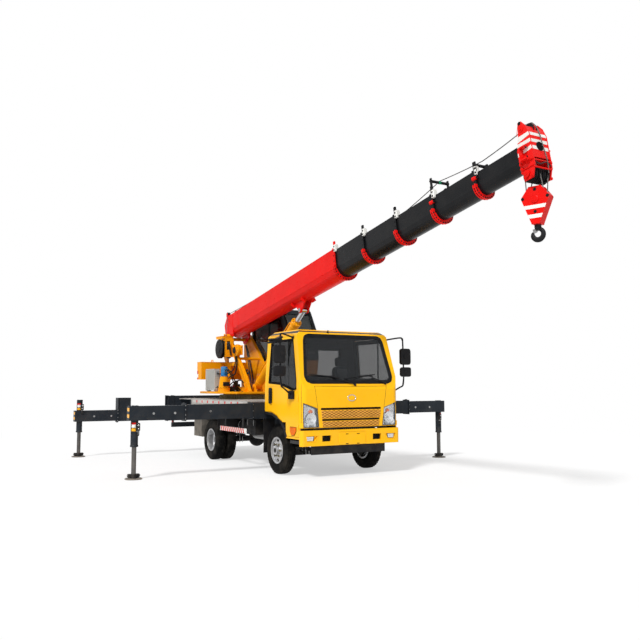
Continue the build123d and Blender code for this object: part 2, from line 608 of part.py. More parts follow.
def make_slewing_ring():
    ring = rod_z(RING_R - 14, RING_BOTTOM, RING_TOP, 0, SLEW_Y)
    outline = []
    for i in range(RING_TEETH):
        for share, r in ((0.0, RING_R - 16), (0.30, RING_R - 16), (0.42, RING_R), (0.68, RING_R),
                         (0.80, RING_R - 16)):
            angle = 2 * pi * (i + share) / RING_TEETH
            outline.append((r * cos(angle), SLEW_Y + r * sin(angle)))
    ring += flat_plate(outline, RING_BOTTOM + 20, RING_TOP - 10)
    ring -= rod_z(400, RING_BOTTOM - 1, RING_TOP + 1, 0, SLEW_Y)
    parts["slewing_ring"] = ring


def make_operator_cab():
    floor = BASE_BOTTOM + BASE_T + 5
    x0, x1 = OPERATOR_X0, OPERATOR_X1
    outline = [(3700, floor), (3700, 2880), (3580, 3000), (2330, 2985), (2040, 2520), (1990, 2000),
               (2120, floor)]
    inner = [(3662, floor + 38), (3662, 2866), (3566, 2962), (2352, 2947), (2077, 2508), (2029, 2004),
             (2150, floor + 38)]
    shell = side_plate(outline, x0, x1) - side_plate(inner, x0 + 36, x1 - 36)
    side_pane = [(3600, 1980), (3600, 2850), (3540, 2905), (2390, 2890), (2150, 2500), (2105, 1980)]
    shell -= side_plate(side_pane, x0 - 1, x0 + 37)
    shell -= side_plate([(2310, 2905), (2000, 2905), (1900, 2080), (2060, 2080), (2110, 2500)], x0 + 60,
                        x1 - 60)
    shell -= box(x0 + 60, x1 - 60, 3650, 3710, 2050, 2840)
    door_outline = [(2920, floor + 60), (2920, 2905), (2390, 2890), (2150, 2500), (2105, 2000),
                    (2190, floor + 60)]
    shell -= side_plate(door_outline, x1 - 37, x1 + 1)
    rear_pane = [(3600, 1980), (3600, 2850), (3540, 2905), (2990, 2900), (2990, 1980)]
    shell -= side_plate(rear_pane, x1 - 37, x1 + 1)
    shell += box(x0 + 170, x1 - 170, 2800, 3250, floor + 30, floor + 420)
    shell += box(x0 + 170, x1 - 170, 3190, 3320, floor + 419, floor + 1100)
    foot = BASE_BOTTOM + BASE_T + SEAT_CLEAR
    shell += box(x0 + 20, x0 + 60, 2700, 3600, foot, floor + 5) + box(560, 760, 2950, 3600, foot, floor + 5)
    parts["operator_cab"] = shell
    c = SEAT_CLEAR
    side_glass = side_plate([(3600 - c, 1980 + c), (3600 - c, 2850), (3540, 2905 - c), (2390, 2890 - c),
                             (2150 + c, 2500),
                             (2105 + c, 1980 + c)], x0 + 14, x0 + 14 + GLASS_T)
    back_glass = box(x0 + 60 + c, x1 - 60 - c, 3676, 3676 + GLASS_T, 2050 + c, 2840 - c)
    rear_glass = side_plate([(3600 - c, 1980 + c), (3600 - c, 2850), (3540, 2905 - c),
                             (2990 + c, 2900 - c), (2990 + c, 1980 + c)],
                            x1 - 20, x1 - 20 + GLASS_T)
    front_glass = side_plate([(2018, 2080.3), (2024, 2080.3), (2059, 2509), (2303, 2904.7),
                              (2295, 2904.7), (2053, 2511)],
                             x0 + 60 + c, x1 - 60 - c)
    parts["operator_glass"] = Compound(children=[side_glass, back_glass, rear_glass, front_glass])
    g = DOOR_GAP
    door = side_plate([(2920 - g, floor + 60 + g), (2920 - g, 2905 - g), (2390 + g, 2890 - g),
                       (2150 + g, 2500), (2105 + g, 2000),
                       (2190 + g, floor + 60 + g)], x1 - 34, x1)
    pane = [(2860, 2020), (2860, 2850), (2420, 2835), (2205, 2490), (2165, 2020)]
    low_pane = [(2860, 1520), (2860, 1960), (2165, 1960), (2205, 1520)]
    door -= side_plate(pane, x1 - 35, x1 + 1) + side_plate(low_pane, x1 - 35, x1 + 1)
    for z in (1600, 2550):
        door += box(x1 - 10, x1 + 14, 2890, 2914, z, z + 90)
    pane_in = [(2860 - c, 2020 + c), (2860 - c, 2850 - c), (2420 + c, 2835 - c), (2205 + c, 2490),
               (2165 + c, 2020 + c)]
    low_in = [(2860 - c, 1520 + c), (2860 - c, 1960 - c), (2165 + c, 1960 - c), (2205 + c, 1520 + c)]
    parts["operator_door"] = door
    panes = [side_plate(pane_in, x1 - 20, x1 - 14), side_plate(low_in, x1 - 20, x1 - 14)]
    parts["operator_door_glass"] = Compound(children=panes)


# Boom, made in its own frame

def section_sizes(step):
    """Top, crease and lowest heights and half width of a section; step 0 is the base."""
    top = BOOM_TOP_W - step * BOOM_TOP_STEP
    low = BOOM_LOW_W + step * BOOM_LOW_STEP
    crease = top - (top - low) * BOOM_SIDE_SHARE
    return top, crease, low, BOOM_HALF_W - step * BOOM_SIDE_STEP


def boom_face(step, grow, at):
    """Outline of a section at a place along the boom, grown by a margin."""
    top, crease, low, half = section_sizes(step)
    knee_w = crease - (crease - low) * 0.45
    knee = half * 0.86 + grow * 0.8
    knee_w -= grow * 0.6
    half, top, low = half + grow, top + grow, low - grow
    lines = Polyline((-knee, knee_w), (-half, crease), (-half, top), (half, top), (half, crease),
                     (knee, knee_w))
    arc = ThreePointArc((knee, knee_w), (0, low), (-knee, knee_w))
    plane = Plane(origin=(0, -at, 0), x_dir=(1, 0, 0), z_dir=(0, -1, 0))
    return plane * make_face(lines + arc)


def boom_solid(step, grow, u0, u1):
    return extrude(boom_face(step, grow, u0), u1 - u0, dir=(0, -1, 0))


def boom_tube(step, u0, u1):
    return boom_solid(step, 0.0, u0, u1) - boom_solid(step, -BOOM_WALL, u0 - 1, u1 + 1)


def collar(step, front):
    """End collar: band round the section, lower flange and the pads that carry the next section."""
    top, crease, low, half = section_sizes(step)
    below = box(-400, 400, -front - 1, -front + COLLAR_LEN + 60, low - 120, crease + 40)
    ring = boom_solid(step, 10.0, front - COLLAR_LEN, front)
    ring += boom_solid(step, COLLAR_RIM, front - 16, front) & below
    ring += boom_solid(step, COLLAR_RIM * 0.7, front - COLLAR_LEN, front - COLLAR_LEN + 16) & below
    ring -= boom_solid(step, -BOOM_WALL, front - COLLAR_LEN - 1, front + 1)
    pad = boom_solid(step, -BOOM_WALL + 1, front - PAD_LEN, front)
    pad -= boom_solid(step + 1, SEAT_CLEAR, front - PAD_LEN - 1, front + 1)
    pad &= box(-400, 400, -front - 1, -front + PAD_LEN + 1, low - 60, crease - 20)
    return ring + pad


def tail_pads(step, rear):
    """Sliding pads on top of a section's rear end."""
    top = section_sizes(step)[0]
    pad = boom_solid(step - 1, -BOOM_WALL - SEAT_CLEAR, rear, rear + PAD_LEN)
    pad -= boom_solid(step, -1.0, rear - 1, rear + PAD_LEN + 1)
    return pad & box(-400, 400, -rear - PAD_LEN - 1, -rear + 1, top - 1, top + 100)


def in_boom(shape):
    """From the boom's own frame to the vehicle's."""
    return Pos(0, PIVOT_Y, PIVOT_Z) * Rot(-BOOM_ANGLE, 0, 0) * shape


def boom_plate(points, x0, x1):
    """Plate with an outline in (u, w)."""
    return side_plate([(-u, w) for u, w in points], x0, x1)


def top_gear(step, front):
    """Posts and slider blocks on top of a collar."""
    top, crease, low, half = section_sizes(step)
    gear = None
    for side in (-1, 1):
        x = side * (half - 25)
        post = box(x - 12, x + 12, -front + 10, -front + 50, top - 1, top + 130)
        reach = 40 if step < 4 else 20
        block = box(x - 26, x + 26, -front - reach, -front + 12, top - 12, top + 50)
        piece = post + block
        gear = piece if gear is None else gear + piece
    return gear


def make_boom_base():
    half = BOOM_HALF_W
    top = BOOM_TOP_W
    rear_u = 100.0
    base = boom_tube(0, rear_u, BASE_FRONT_U)
    cheek = [(260, top), (-24, top + 12), (-188, 351), (-166, 140), (-90, -70), (0, -95), (90, -70),
             (260, 20)]
    for x0, x1 in ((-half, -half + 18), (half - 18, half)):
        base += boom_plate(cheek, x0, x1)
        base += rod_x(78, x0 - 10 if x0 < 0 else x0, x1 if x0 < 0 else x1 + 10, 0, 0)
    base += boom_plate([(-24, top + 12), (-188, 351), (-166, 140), (-150, 140), (-172, 348), (-15, top)],
                       -half, half)
    base += boom_plate([(260, top), (-24, top + 12), (-24, top), (260, top - 8)], -half, half)
    base -= rod_x(PIVOT_R + SEAT_CLEAR, -half - 60, half + 60, 0, 0)
    base += collar(0, BASE_FRONT_U) + top_gear(0, BASE_FRONT_U)
    inner, outer = LUG_GAP / 2, LUG_GAP / 2 + LUG_T
    for side in (-1, 1):
        x0, x1 = sorted((side * inner, side * outer))
        lug = boom_plate([(LUG_U - 230, 60), (LUG_U + 300, 60), (LUG_U + 60, LUG_W - 15),
                          (LUG_U + 30, LUG_W - LUG_R),
                          (LUG_U - 30, LUG_W - LUG_R), (LUG_U - 60, LUG_W)], x0, x1)
        base += lug - boom_solid(0, -BOOM_WALL + 1, LUG_U - 400, LUG_U + 400)
        x0, x1 = sorted((side * (outer - 1), side * (outer + 14)))
        base += rod_x(42, x0, x1, -LUG_U, LUG_W)
    base += box(-12, 12, 5, 25, top - 2, top + 130)
    parts["boom_base"] = in_boom(base)


def make_boom():
    make_boom_base()
    for step in range(1, 6):
        front = BASE_FRONT_U + step * EXPOSED
        length = SECTION_LEN + step * 10
        if step == 5:
            front = HEAD_U + 30
            length = SECTION_LEN + 30
        section = boom_tube(step, front - length, front) + tail_pads(step, front - length + 20)
        if step < 5:
            section += collar(step, front) + top_gear(step, front)
        else:
            section += boom_head()
        parts["boom_section_%d" % (step + 1)] = in_boom(section)


def boom_head():
    """Welded head of the last section: side and cross plates, jib brackets, top sheave and the lower axle."""
    u0, u1 = HEAD_U, HEAD_U + HEAD_LEN
    half = HEAD_HALF_W
    outline = [(u0 - 20, 90), (u0 - 30, 300), (u0 + 20, 480), (u0 + 40, 640), (u0 + 90, 640),
               (u0 + 150, 560), (u1, 440),
               (u1 + 10, 60), (u1 - 40, SHEAVE_W - 70), (SHEAVE_U - 60, SHEAVE_W - 70), (u0 + 10, 0)]
    head = boom_plate(outline, -half, -half + 14) + boom_plate(outline, half - 14, half)
    head += boom_plate([(u0 - 14, 92), (u0 - 24, 300), (u0 + 26, 480), (u0 + 38, 478), (u0 - 10, 300),
                        (u0, 92)], -half, half)
    head += boom_plate([(u1 - 16, 150), (u1 - 16, 434), (u0 + 136, 550), (u0 + 147, 558), (u1 - 2, 438),
                        (u1 - 2, 150)], -half, half)
    head += boom_plate([(u0 + 10, 112), (u0 + 10, 126), (u1, 126), (u1, 112)], -half, half)
    for x0, x1 in ((-half - 70, -half + 1), (half - 1, half + 70)):
        bracket = boom_plate([(u0 + 50, 130), (u0 + 50, 300), (u0 + 150, 300), (u0 + 150, 130)], x0, x1)
        bracket -= boom_plate([(u0 + 64, 144), (u0 + 64, 286), (u0 + 160, 286), (u0 + 160, 144)], x0 - 1,
                              x1 + 1)
        head += bracket
    head += rod_x(85, -22, 22, -u0 - 80, 545) + rod_x(18, -half, half, -u0 - 80, 545)
    head += rod_x(SHEAVE_AXLE_R, -half - 14, half + 14, -SHEAVE_U, SHEAVE_W)
    return head


def make_head_sheaves():
    """Lower sheaves on their sleeve, free on the head's axle."""
    reach = HEAD_HALF_W - 14 - SEAT_CLEAR
    sleeve = rod_x(SHEAVE_AXLE_R + 16, -reach, reach, -SHEAVE_U, SHEAVE_W)
    for x in (-95, -32, 32, 95):
        sleeve += ring_x([(x - 16, 10), (x - 16, SHEAVE_R), (x - 10, SHEAVE_R), (x - 5, SHEAVE_R - 20),
                          (x + 5, SHEAVE_R - 20),
                          (x + 10, SHEAVE_R), (x + 16, SHEAVE_R), (x + 16, 10)]).moved(Pos(0, -SHEAVE_U,
                                                                                           SHEAVE_W))
    sleeve -= rod_x(SHEAVE_AXLE_R + SEAT_CLEAR, -300, 300, -SHEAVE_U, SHEAVE_W)
    parts["head_sheaves"] = in_boom(sleeve)


def sheave_place():
    """Lower sheave axle in the vehicle's frame, as (Y, Z)."""
    c, s = cos(radians(BOOM_ANGLE)), sin(radians(BOOM_ANGLE))
    return PIVOT_Y - SHEAVE_U * c + SHEAVE_W * s, PIVOT_Z + SHEAVE_U * s + SHEAVE_W * c


def make_hook_block():
    """Block with two sheaves between its cheeks, and the swivelling hook."""
    y, z = sheave_place()
    low = HOOK_BLOCK_LOW
    outline = [(-75, 0), (75, 0), (HOOK_HALF, -120), (HOOK_HALF, -150), (48, low), (-48, low),
               (-HOOK_HALF, -150), (-HOOK_HALF, -120)]
    block = side_plate(outline, -66, -54) + side_plate(outline, 54, 66)
    for x in (-26, 26):
        block += rod_x(118, x - 18, x + 18, 0, -155)
    block += rod_x(22, -76, 76, 0, -155)
    block += box(-56, 56, -46, 46, low + 4, low + 84)
    block -= rod_z(HOOK_SHANK_R + SEAT_CLEAR, low, low + 76, 0, 0)
    place = Pos(0, y, z - HOOK_DROP) * Rot(0, 0, HOOK_TWIST)
    parts["hook_block"] = place * block
    ring_z = low - 118
    hook = rod_z(HOOK_SHANK_R, ring_z + 60, low + 70, 0, 0) + rod_z(38, low - 45, low + 4 - SEAT_CLEAR, 0, 0)
    bow = Pos(0, 0, ring_z) * Rot(0, 90, 0) * Torus(66, 24)
    mouth = side_plate([(-20, ring_z + 18), (-20, ring_z + 46), (-140, ring_z + 46), (-140, ring_z + 18)],
                       -60, 60)
    parts["hook"] = place * (hook + (bow - mouth))


# Luffing cylinder

def cylinder_line():
    """Length and angle from the cylinder's base pin to its rod eye."""
    c, s = cos(radians(BOOM_ANGLE)), sin(radians(BOOM_ANGLE))
    end_y = PIVOT_Y - LUG_U * c + LUG_W * s
    end_z = PIVOT_Z + LUG_U * s + LUG_W * c
    length = hypot(end_y - CYL_BASE_Y, end_z - CYL_BASE_Z)
    return length, degrees(atan2(end_z - CYL_BASE_Z, CYL_BASE_Y - end_y))


def make_luff_cylinder():
    length, angle = cylinder_line()
    place = Pos(0, CYL_BASE_Y, CYL_BASE_Z) * Rot(-angle, 0, 0)
    wide = BARREL_R + 8
    gland = 60.0
    barrel = rod_y(BARREL_R, -BARREL_LEN, -95, 0, 0) + rod_y(wide, -BARREL_LEN, -BARREL_LEN + 50, 0, 0)
    barrel -= rod_y(LUFF_ROD_R + 12, -BARREL_LEN + gland, -130, 0, 0)
    barrel -= rod_y(LUFF_ROD_R + ROD_CLEAR, -BARREL_LEN - 1, -BARREL_LEN + gland + 1, 0, 0)
    lug_in = BASE_EYE_HALF_W - SEAT_CLEAR
    barrel += rod_x(LUFF_BASE_EYE_R, -lug_in, lug_in, 0, 0) + box(-lug_in, lug_in, -110, 0, -45, 45)
    barrel -= rod_x(LUFF_PIN_R + SEAT_CLEAR, -lug_in - 1, lug_in + 1, 0, 0)
    rod = rod_y(LUFF_ROD_R, -length + 20, -LUFF_ROD_START, 0, 0)
    rod += rod_x(LUFF_EYE_R, -LUG_GAP / 2 + 5, LUG_GAP / 2 - 5, -length, 0)
    rod -= rod_x(LUFF_PIN_R, -60, 60, -length, 0)
    parts["luff_cylinder"] = place * barrel
    parts["luff_rod"] = place * rod


# Truck cab

def cab_body(inset=0.0):
    """Cab block from its side, plan and front outlines; the inset gives the inside."""
    i = inset
    side = [(CAB_REAR_Y - i, CAB_FLOOR_Z + i), (CAB_REAR_Y - i, 2290 - i), (370 - i, CAB_TOP - i),
            (-500, CAB_TOP - i),
            (-600 + i, 2305 - i), (-838 + i, BELT_Z + 30), (CAB_FRONT_Y + i, BELT_Z - 60),
            (CAB_FRONT_Y + i, 1000),
            (CAB_FRONT_Y + i + 10, CAB_FLOOR_Z + i)]
    half = CAB_HALF_W - i
    front = [(-half, 500), (half, 500), (half, BELT_Z), (half - 60, 2270), (half - 150, CAB_TOP - i + 1),
             (150 - half, CAB_TOP - i + 1), (60 - half, 2270), (-half, BELT_Z)]
    body = side_plate(side, -half, half)
    body &= front_plate(front, -1500, 1500)
    plan = box(-half, half, CAB_FRONT_Y + i, CAB_REAR_Y - i, 400, 2500)
    edges = plan.edges().filter_by(Axis.Z).sort_by(Axis.Y)[:2]
    plan = fillet(edges, max(CORNER_R - i, 20))
    return body & plan


def cab_side_wall(inner, outer):
    """Region of the left cab side between two offsets from its outer skin."""
    half = CAB_HALF_W
    points = [(half - inner, 400), (half + outer, 400), (half + outer, BELT_Z), (half - 60 + outer, 2270),
              (half - 60 - inner, 2270), (half - inner, BELT_Z)]
    return front_plate(points, -1500, 1500)


ARCH = [(445, 1000), (160, 985), (-20, 935), (-180, 850), (-290, 750), (-360, 600)]
DOOR_HOLE = [(350, 1020), (350, DOOR_TOP), (-520, DOOR_TOP), (-755, BELT_Z + 20), (-780, 1300),
             (-780, 640), (-370, 640),
             (-300, 765), (-190, 868), (-30, 952), (150, 1003)]
DOOR_LEAF = [(344, 1026), (344, 2246), (-516, 2246), (-748, 1471), (-774, 1300), (-774, 646), (-376, 646),
             (-306, 771), (-195, 876), (-34, 959), (149, 1010)]


def make_cab():
    shell = cab_body() - cab_body(CAB_WALL)
    skirt = side_plate([(-340, CAB_FLOOR_Z + 4), (-340, 610), (-800, 610), (-800, CAB_FLOOR_Z + 4)],
                       -CAB_HALF_W, CAB_HALF_W)
    inner = CAB_HALF_W - CAB_WALL
    skirt -= box(-inner, inner, -900, 0, 500, 900)
    nose = box(-CAB_HALF_W, CAB_HALF_W, CAB_FRONT_Y + 10, CAB_FRONT_Y + 70, CAB_SKIRT_Z, CAB_FLOOR_Z + 4)
    nose_edges = nose.edges().filter_by(Axis.Z).sort_by(Axis.Y)[:2]
    nose = fillet(nose_edges, 55)
    shell += skirt + nose
    arch_cut = ARCH + [(-360, 300), (700, 300), (700, 1000)]
    well = side_plate(arch_cut, CAB_HALF_W - 330, CAB_HALF_W + 100)
    shell -= well + flipped(well)
    liner = side_plate([(445, 1000), (160, 985), (-20, 935), (-180, 850), (-290, 750), (-300, 758),
                        (-190, 862), (-26, 949),
                        (156, 1000), (440, 1014)], CAB_HALF_W - 332, CAB_HALF_W - CAB_WALL)
    inner_wall = side_plate([(440, CAB_FLOOR_Z), (440, 1012), (156, 998), (-26, 947), (-140, CAB_FLOOR_Z)],
                            CAB_HALF_W - 340, CAB_HALF_W - 330)
    shell += liner + flipped(liner) + inner_wall + flipped(inner_wall)
    # Windscreen and rear window openings
    shell -= front_plate(screen_outline(0.0), CAB_FRONT_Y - 100, -480)
    shell -= box(-560, 560, CAB_REAR_Y - 60, CAB_REAR_Y + 10, 1600, 2100)
    # Grille slots, bands and headlamp recesses
    for z0, z1, half in ((1061, 1096, 575), (889, 921, 548)):
        shell -= box(-half, half, CAB_FRONT_Y - 10, CAB_FRONT_Y + 50, z0, z1)
    lamps = None
    for sign in (-1, 1):
        c = SEAT_CLEAR
        outline = [(sign * 630, 1090), (sign * 885, 1178), (sign * 885, 790), (sign * 600, 790)]
        recess = front_plate(outline, CAB_FRONT_Y - 100, CAB_FRONT_Y + 65)
        lens = [(sign * (630 + c), 1090 - c), (sign * (885 - c), 1178 - c), (sign * (885 - c), 790 + c),
                (sign * (600 + c), 790 + c)]
        lamp = front_plate(lens, CAB_FRONT_Y - 100, CAB_FRONT_Y + 65 - c)
        plan = box(-CAB_HALF_W + 3, CAB_HALF_W - 3, CAB_FRONT_Y + 4, CAB_REAR_Y, 400, 2500)
        plan = fillet(plan.edges().filter_by(Axis.Z).sort_by(Axis.Y)[:2], CORNER_R - 4)
        lamp &= plan
        shell -= recess
        lamps = lamp if lamps is None else Compound(children=[lamps, lamp])
    parts["headlamps"] = lamps
    # Door openings
    hole = side_plate(DOOR_HOLE, 0, CAB_HALF_W + 200) & cab_side_wall(CAB_WALL + 2, 50)
    leaf = side_plate(DOOR_LEAF, 0, CAB_HALF_W + 200) & cab_side_wall(CAB_WALL, 0)
    outer = cab_body()
    low_part = side_plate([(-340, CAB_FLOOR_Z + 4), (-340, 610), (-800, 610), (-800, CAB_FLOOR_Z + 4)], 0,
                          CAB_HALF_W)
    door = leaf & (outer + low_part)
    window = [(290, 1500), (290, 2190), (-480, 2190), (-680, 1520), (-690, 1400), (-600, 1380), (-120, 1480)]
    door -= side_plate(window, 0, CAB_HALF_W + 200)
    shell -= hole + flipped(hole)
    for z in (760, 1200):
        door += box(CAB_HALF_W - 10, CAB_HALF_W + 10, HINGE_Y + 2, HINGE_Y + 30, z, z + 70)
    door += box(CAB_HALF_W - 4, CAB_HALF_W + 22, 160, 250, 1150, 1410)
    parts["cab_shell"] = shell
    parts["door_left"] = door
    parts["door_right"] = flipped(door)
    pane = [(290 - 0.3, 1500.3), (290 - 0.3, 2190 - 0.3), (-480, 2190 - 0.3), (-680 + 0.3, 1520),
            (-690 + 0.3, 1400.3),
            (-600, 1380.3), (-120, 1480.4)]
    pane_shape = side_plate(pane, 0, CAB_HALF_W + 200) & cab_side_wall(22, -16)
    parts["door_glass_left"] = pane_shape
    parts["door_glass_right"] = flipped(pane_shape)
    # Panes of the cab itself
    low_y, high_y = screen_y(1500), screen_y(2260)
    screen = side_plate([(low_y + 14, 1500), (low_y + 20, 1500), (high_y + 20, 2260),
                         (high_y + 14, 2260)], -CAB_HALF_W, CAB_HALF_W)
    screen &= front_plate(screen_outline(SEAT_CLEAR), CAB_FRONT_Y - 100, -400)
    rear = box(-559.7, 559.7, CAB_REAR_Y - 26, CAB_REAR_Y - 20, 1600.3, 2099.7)
    parts["cab_glass"] = Compound(children=[screen, rear])


def screen_outline(inset):
    """Windscreen outline in (X, Z), with cut corners."""
    half = [(SCREEN_LOW_X - 90, SCREEN_LOW_Z), (SCREEN_LOW_X - 24, SCREEN_LOW_Z + 26),
            (SCREEN_LOW_X, SCREEN_LOW_Z + 90),
            (SCREEN_HIGH_X, SCREEN_HIGH_Z - 80), (SCREEN_HIGH_X - 24, SCREEN_HIGH_Z - 22),
            (SCREEN_HIGH_X - 80, SCREEN_HIGH_Z)]
    middle = (SCREEN_LOW_Z + SCREEN_HIGH_Z) / 2
    right = [(x - inset, z + inset if z < middle else z - inset) for x, z in half]
    return right + [(-x, z) for x, z in reversed(right)]


def screen_y(z):
    """Outer face of the windscreen at a height."""
    share = (z - (BELT_Z + 30)) / (2305 - (BELT_Z + 30))
    return -838 + share * (838 - 600)


WELL_TOP = 1014.3


def make_cab_inside():
    low = CAB_FLOOR_Z + CAB_WALL + SEAT_CLEAR
    cover = box(-280, 280, -560, 395, low, low + 250)
    dash = side_plate([(-560, 1240), (-600, 1500), (-770, 1500), (-812, 1400), (-812, 1190),
                       (-620, 1190)], -780, 780)
    dash += box(-60, 60, -700, -561, low, 1195)
    solids = [cover, dash]
    for x in (-420, 440):
        seat = side_plate([(-120, 1120), (330, 1120), (330, 1300), (-120, 1270)], x - 135, x + 235)
        seat += side_plate([(240, 1290), (330, 1290), (395, 1930), (300, 1930)], x - 115, x + 215)
        seat += box(x - 80, x + 80, 0, 320, WELL_TOP, 1125)
        seat = Pos(45 if x > 0 else -145, 0, 0) * seat
        solids.append(seat)
    wheel = Pos(450, -470, 1520) * Rot(-28, 0, 0) * Torus(200, 15)
    wheel += Pos(450, -470, 1520) * Rot(-28, 0, 0) * Cylinder(38, 30)
    for angle in (0, 120, 240):
        wheel += Pos(450, -470, 1520) * Rot(-28, 0, 0) * Rot(0, 0, angle) * Pos(0, -100, 0) * Box(24, 200, 12)
    column = Pos(450, -470, 1520) * Rot(-28, 0, 0) * Pos(0, 0, -130) * Cylinder(26, 250)
    solids[1] = solids[1] + wheel + column
    parts["cab_interior"] = Compound(children=solids)


def bar_between(a, b, r, past=0.0):
    """Round bar between two points, carried on past both by the given length."""
    middle = tuple((p + q) / 2 for p, q in zip(a, b))
    along = tuple(q - p for p, q in zip(a, b))
    length = hypot(*along) + 2 * past
    return Plane(origin=middle, z_dir=along) * Cylinder(r, length)


def mirror_head(x0, x1, y0, y1, z0, z1, cut):
    """Upright mirror box with cut corners."""
    outline = [(x0 + cut, z0), (x1 - cut, z0), (x1, z0 + cut), (x1, z1 - cut)]
    outline += [(x1 - cut, z1), (x0 + cut, z1), (x0, z1 - cut), (x0, z0 + cut)]
    return front_plate(outline, y0, y1)


def make_mirrors():
    """Mirror heads on a bent tube at the front of each door; a kerb mirror hangs on the right one."""
    r = 9.0
    # place across, along and up of each bend
    bends = [(886, -495, 2222), (1165, -640, 2272), (1190, -650, 2200)]
    bends += [(1190, -668, 1600), (1170, -660, 1440), (945, -560, 1300)]
    tube = None
    for a, b in zip(bends, bends[1:]):
        bar = bar_between(a, b, r, 4.0)
        tube = bar if tube is None else tube + bar
    low_foot = box(CAB_HALF_W + SEAT_CLEAR, CAB_HALF_W + 34, -640, -480, 1235, 1365)
    top_foot = front_plate([(873.5, 2200), (870.6, 2240), (896, 2240), (896, 2200)], -520, -470)
    tube += low_foot + top_foot
    tube += mirror_head(1118, 1322, -690, -645, 1806, 2078, 26)
    tube += mirror_head(1118, 1322, -697, -652, 1600, 1756, 26)
    kerb = Pos(1270, -640, 2165) * Rot(0, 26, 0) * Box(210, 150, 30)
    parts["mirror_left"] = tube
    parts["mirror_right"] = flipped(tube + kerb)


def make_front():
    """Bumper with its recesses, brackets and lower valance, and its lamps."""
    bumper = box(-935, 935, BUMPER_FRONT_Y, -812, BUMPER_BOTTOM, BUMPER_TOP)
    bumper = fillet(bumper.edges().filter_by(Axis.Z).sort_by(Axis.Y)[:2], 55)
    step = None
    for sign in (-1, 1):
        piece = box(*sorted((sign * 800, sign * 925)), -812.5, -485, 537, 584)
        piece += box(*sorted((sign * 800, sign * 925)), -812.5, -790, 505, 590)
        arm = box(*sorted((sign * (RAIL_X + SEAT_CLEAR), sign * 800.5)), -600, -540, 540, 580)
        bumper += piece + arm
        bumper += box(*sorted((sign * (RAIL_X + SEAT_CLEAR), sign * (RAIL_X + 12))), -812.5, -440, 540, 700)
        fog = [(sign * 640, 662), (sign * 850, 662), (sign * 835, 578), (sign * 690, 578)]
        bumper -= front_plate(fog, BUMPER_FRONT_Y - 20, -852)
        bumper -= box(*sorted((sign * 395, sign * 560)), BUMPER_FRONT_Y - 10, -812 - 20, 570, 664)
    bumper += box(-700, 700, -780, -760, 360, 540) + box(-700, 700, -812.5, -760, 520, 540)
    parts["front_bumper"] = bumper


def make_all():
    make_wheels()
    make_axles()
    make_knuckles()
    make_chassis()
    make_deck()
    make_outriggers()
    make_outrigger_boxes()
    make_guards()
    make_slewing_ring()
    make_turret()
    make_operator_cab()
    make_boom()
    make_head_sheaves()
    make_hook_block()
    make_luff_cylinder()
    make_cab()
    make_cab_inside()
    make_mirrors()
    make_front()


def y_shift():
    """Half way between the front and rear ends of the whole crane."""
    boxes = [shape.bounding_box() for shape in parts.values()]
    front = min(b.min.Y for b in boxes)
    rear = max(b.max.Y for b in boxes)
    return -(front + rear) / 2


def main():
    make_all()
    os.makedirs("parts", exist_ok=True)
    shift = y_shift()
    for name, shape in parts.items():
        export_step(Pos(0, shift, 0) * shape, "parts/" + name + ".step")
    print("shift", round(shift, 3), "pieces", len(parts))


if __name__ == "__main__":
    main()
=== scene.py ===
"""Looks of the truck-mounted crane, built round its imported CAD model.

Lengths are in millimetres in the vehicle's frame: X to its left, Y rearward from the front axle, Z up.
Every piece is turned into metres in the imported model's frame when it is made.
"""
import bmesh
import bpy
import json
from math import asin, cos, hypot, pi, radians, sin, sqrt
from mathutils import Matrix, Vector


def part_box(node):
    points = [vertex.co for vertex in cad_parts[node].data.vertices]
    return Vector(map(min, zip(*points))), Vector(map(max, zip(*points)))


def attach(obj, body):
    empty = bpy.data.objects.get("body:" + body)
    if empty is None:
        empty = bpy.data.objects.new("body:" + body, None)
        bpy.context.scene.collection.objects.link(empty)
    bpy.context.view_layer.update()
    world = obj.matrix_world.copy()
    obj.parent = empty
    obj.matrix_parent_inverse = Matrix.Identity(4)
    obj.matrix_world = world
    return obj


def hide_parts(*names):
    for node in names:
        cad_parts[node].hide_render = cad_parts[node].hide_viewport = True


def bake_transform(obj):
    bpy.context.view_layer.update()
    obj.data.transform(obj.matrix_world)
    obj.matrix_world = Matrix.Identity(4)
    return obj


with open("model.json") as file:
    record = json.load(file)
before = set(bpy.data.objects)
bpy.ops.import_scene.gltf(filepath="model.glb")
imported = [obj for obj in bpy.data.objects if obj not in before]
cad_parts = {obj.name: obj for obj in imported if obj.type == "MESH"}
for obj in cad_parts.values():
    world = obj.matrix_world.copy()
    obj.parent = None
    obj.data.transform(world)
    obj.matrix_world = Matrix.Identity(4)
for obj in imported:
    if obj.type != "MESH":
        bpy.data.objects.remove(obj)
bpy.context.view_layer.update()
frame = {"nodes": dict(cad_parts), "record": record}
wheel_low, wheel_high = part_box("tyre_front_left")
SHIFT = (wheel_low.y + wheel_high.y) / 2

# Values shared with the CAD source
PIVOT_Y, PIVOT_Z = 3800.0, 2450.0
BOOM_C, BOOM_S = cos(radians(9.5)), sin(radians(9.5))
BASE_FRONT_U, EXPOSED, HEAD_U = 4617.0, 845.0, 8760.0
CAB_FRONT, CAB_HALF, BELT_Z = -865.0, 928.0, 1450.0
BUMPER_FRONT = -880.0
WHEEL_Z, REAR_AXLE_Y = 387.5, 2750.0
FRONT_TYRE_X, OUTER_TWIN_X, INNER_TWIN_X = 838.0, 915.0, 695.0
DECK_TOP, DECK_SIDE_X = 1172.0, 1040.0
TURNTABLE_Y, PLATE_TOP = 3150.0, 1326.0
LUFF_FOOT_Y, LUFF_FOOT_Z = 2750.0, 1430.0
WINCH_Y, WINCH_Z = 3610.0, 2228.0
MOTOR_Y, MOTOR_Z = 3090.0, 2180.0
COOLER_Y, COOLER_Z = 3325.0, 1560.0
WEIGHT_REAR_Y = 4100.0
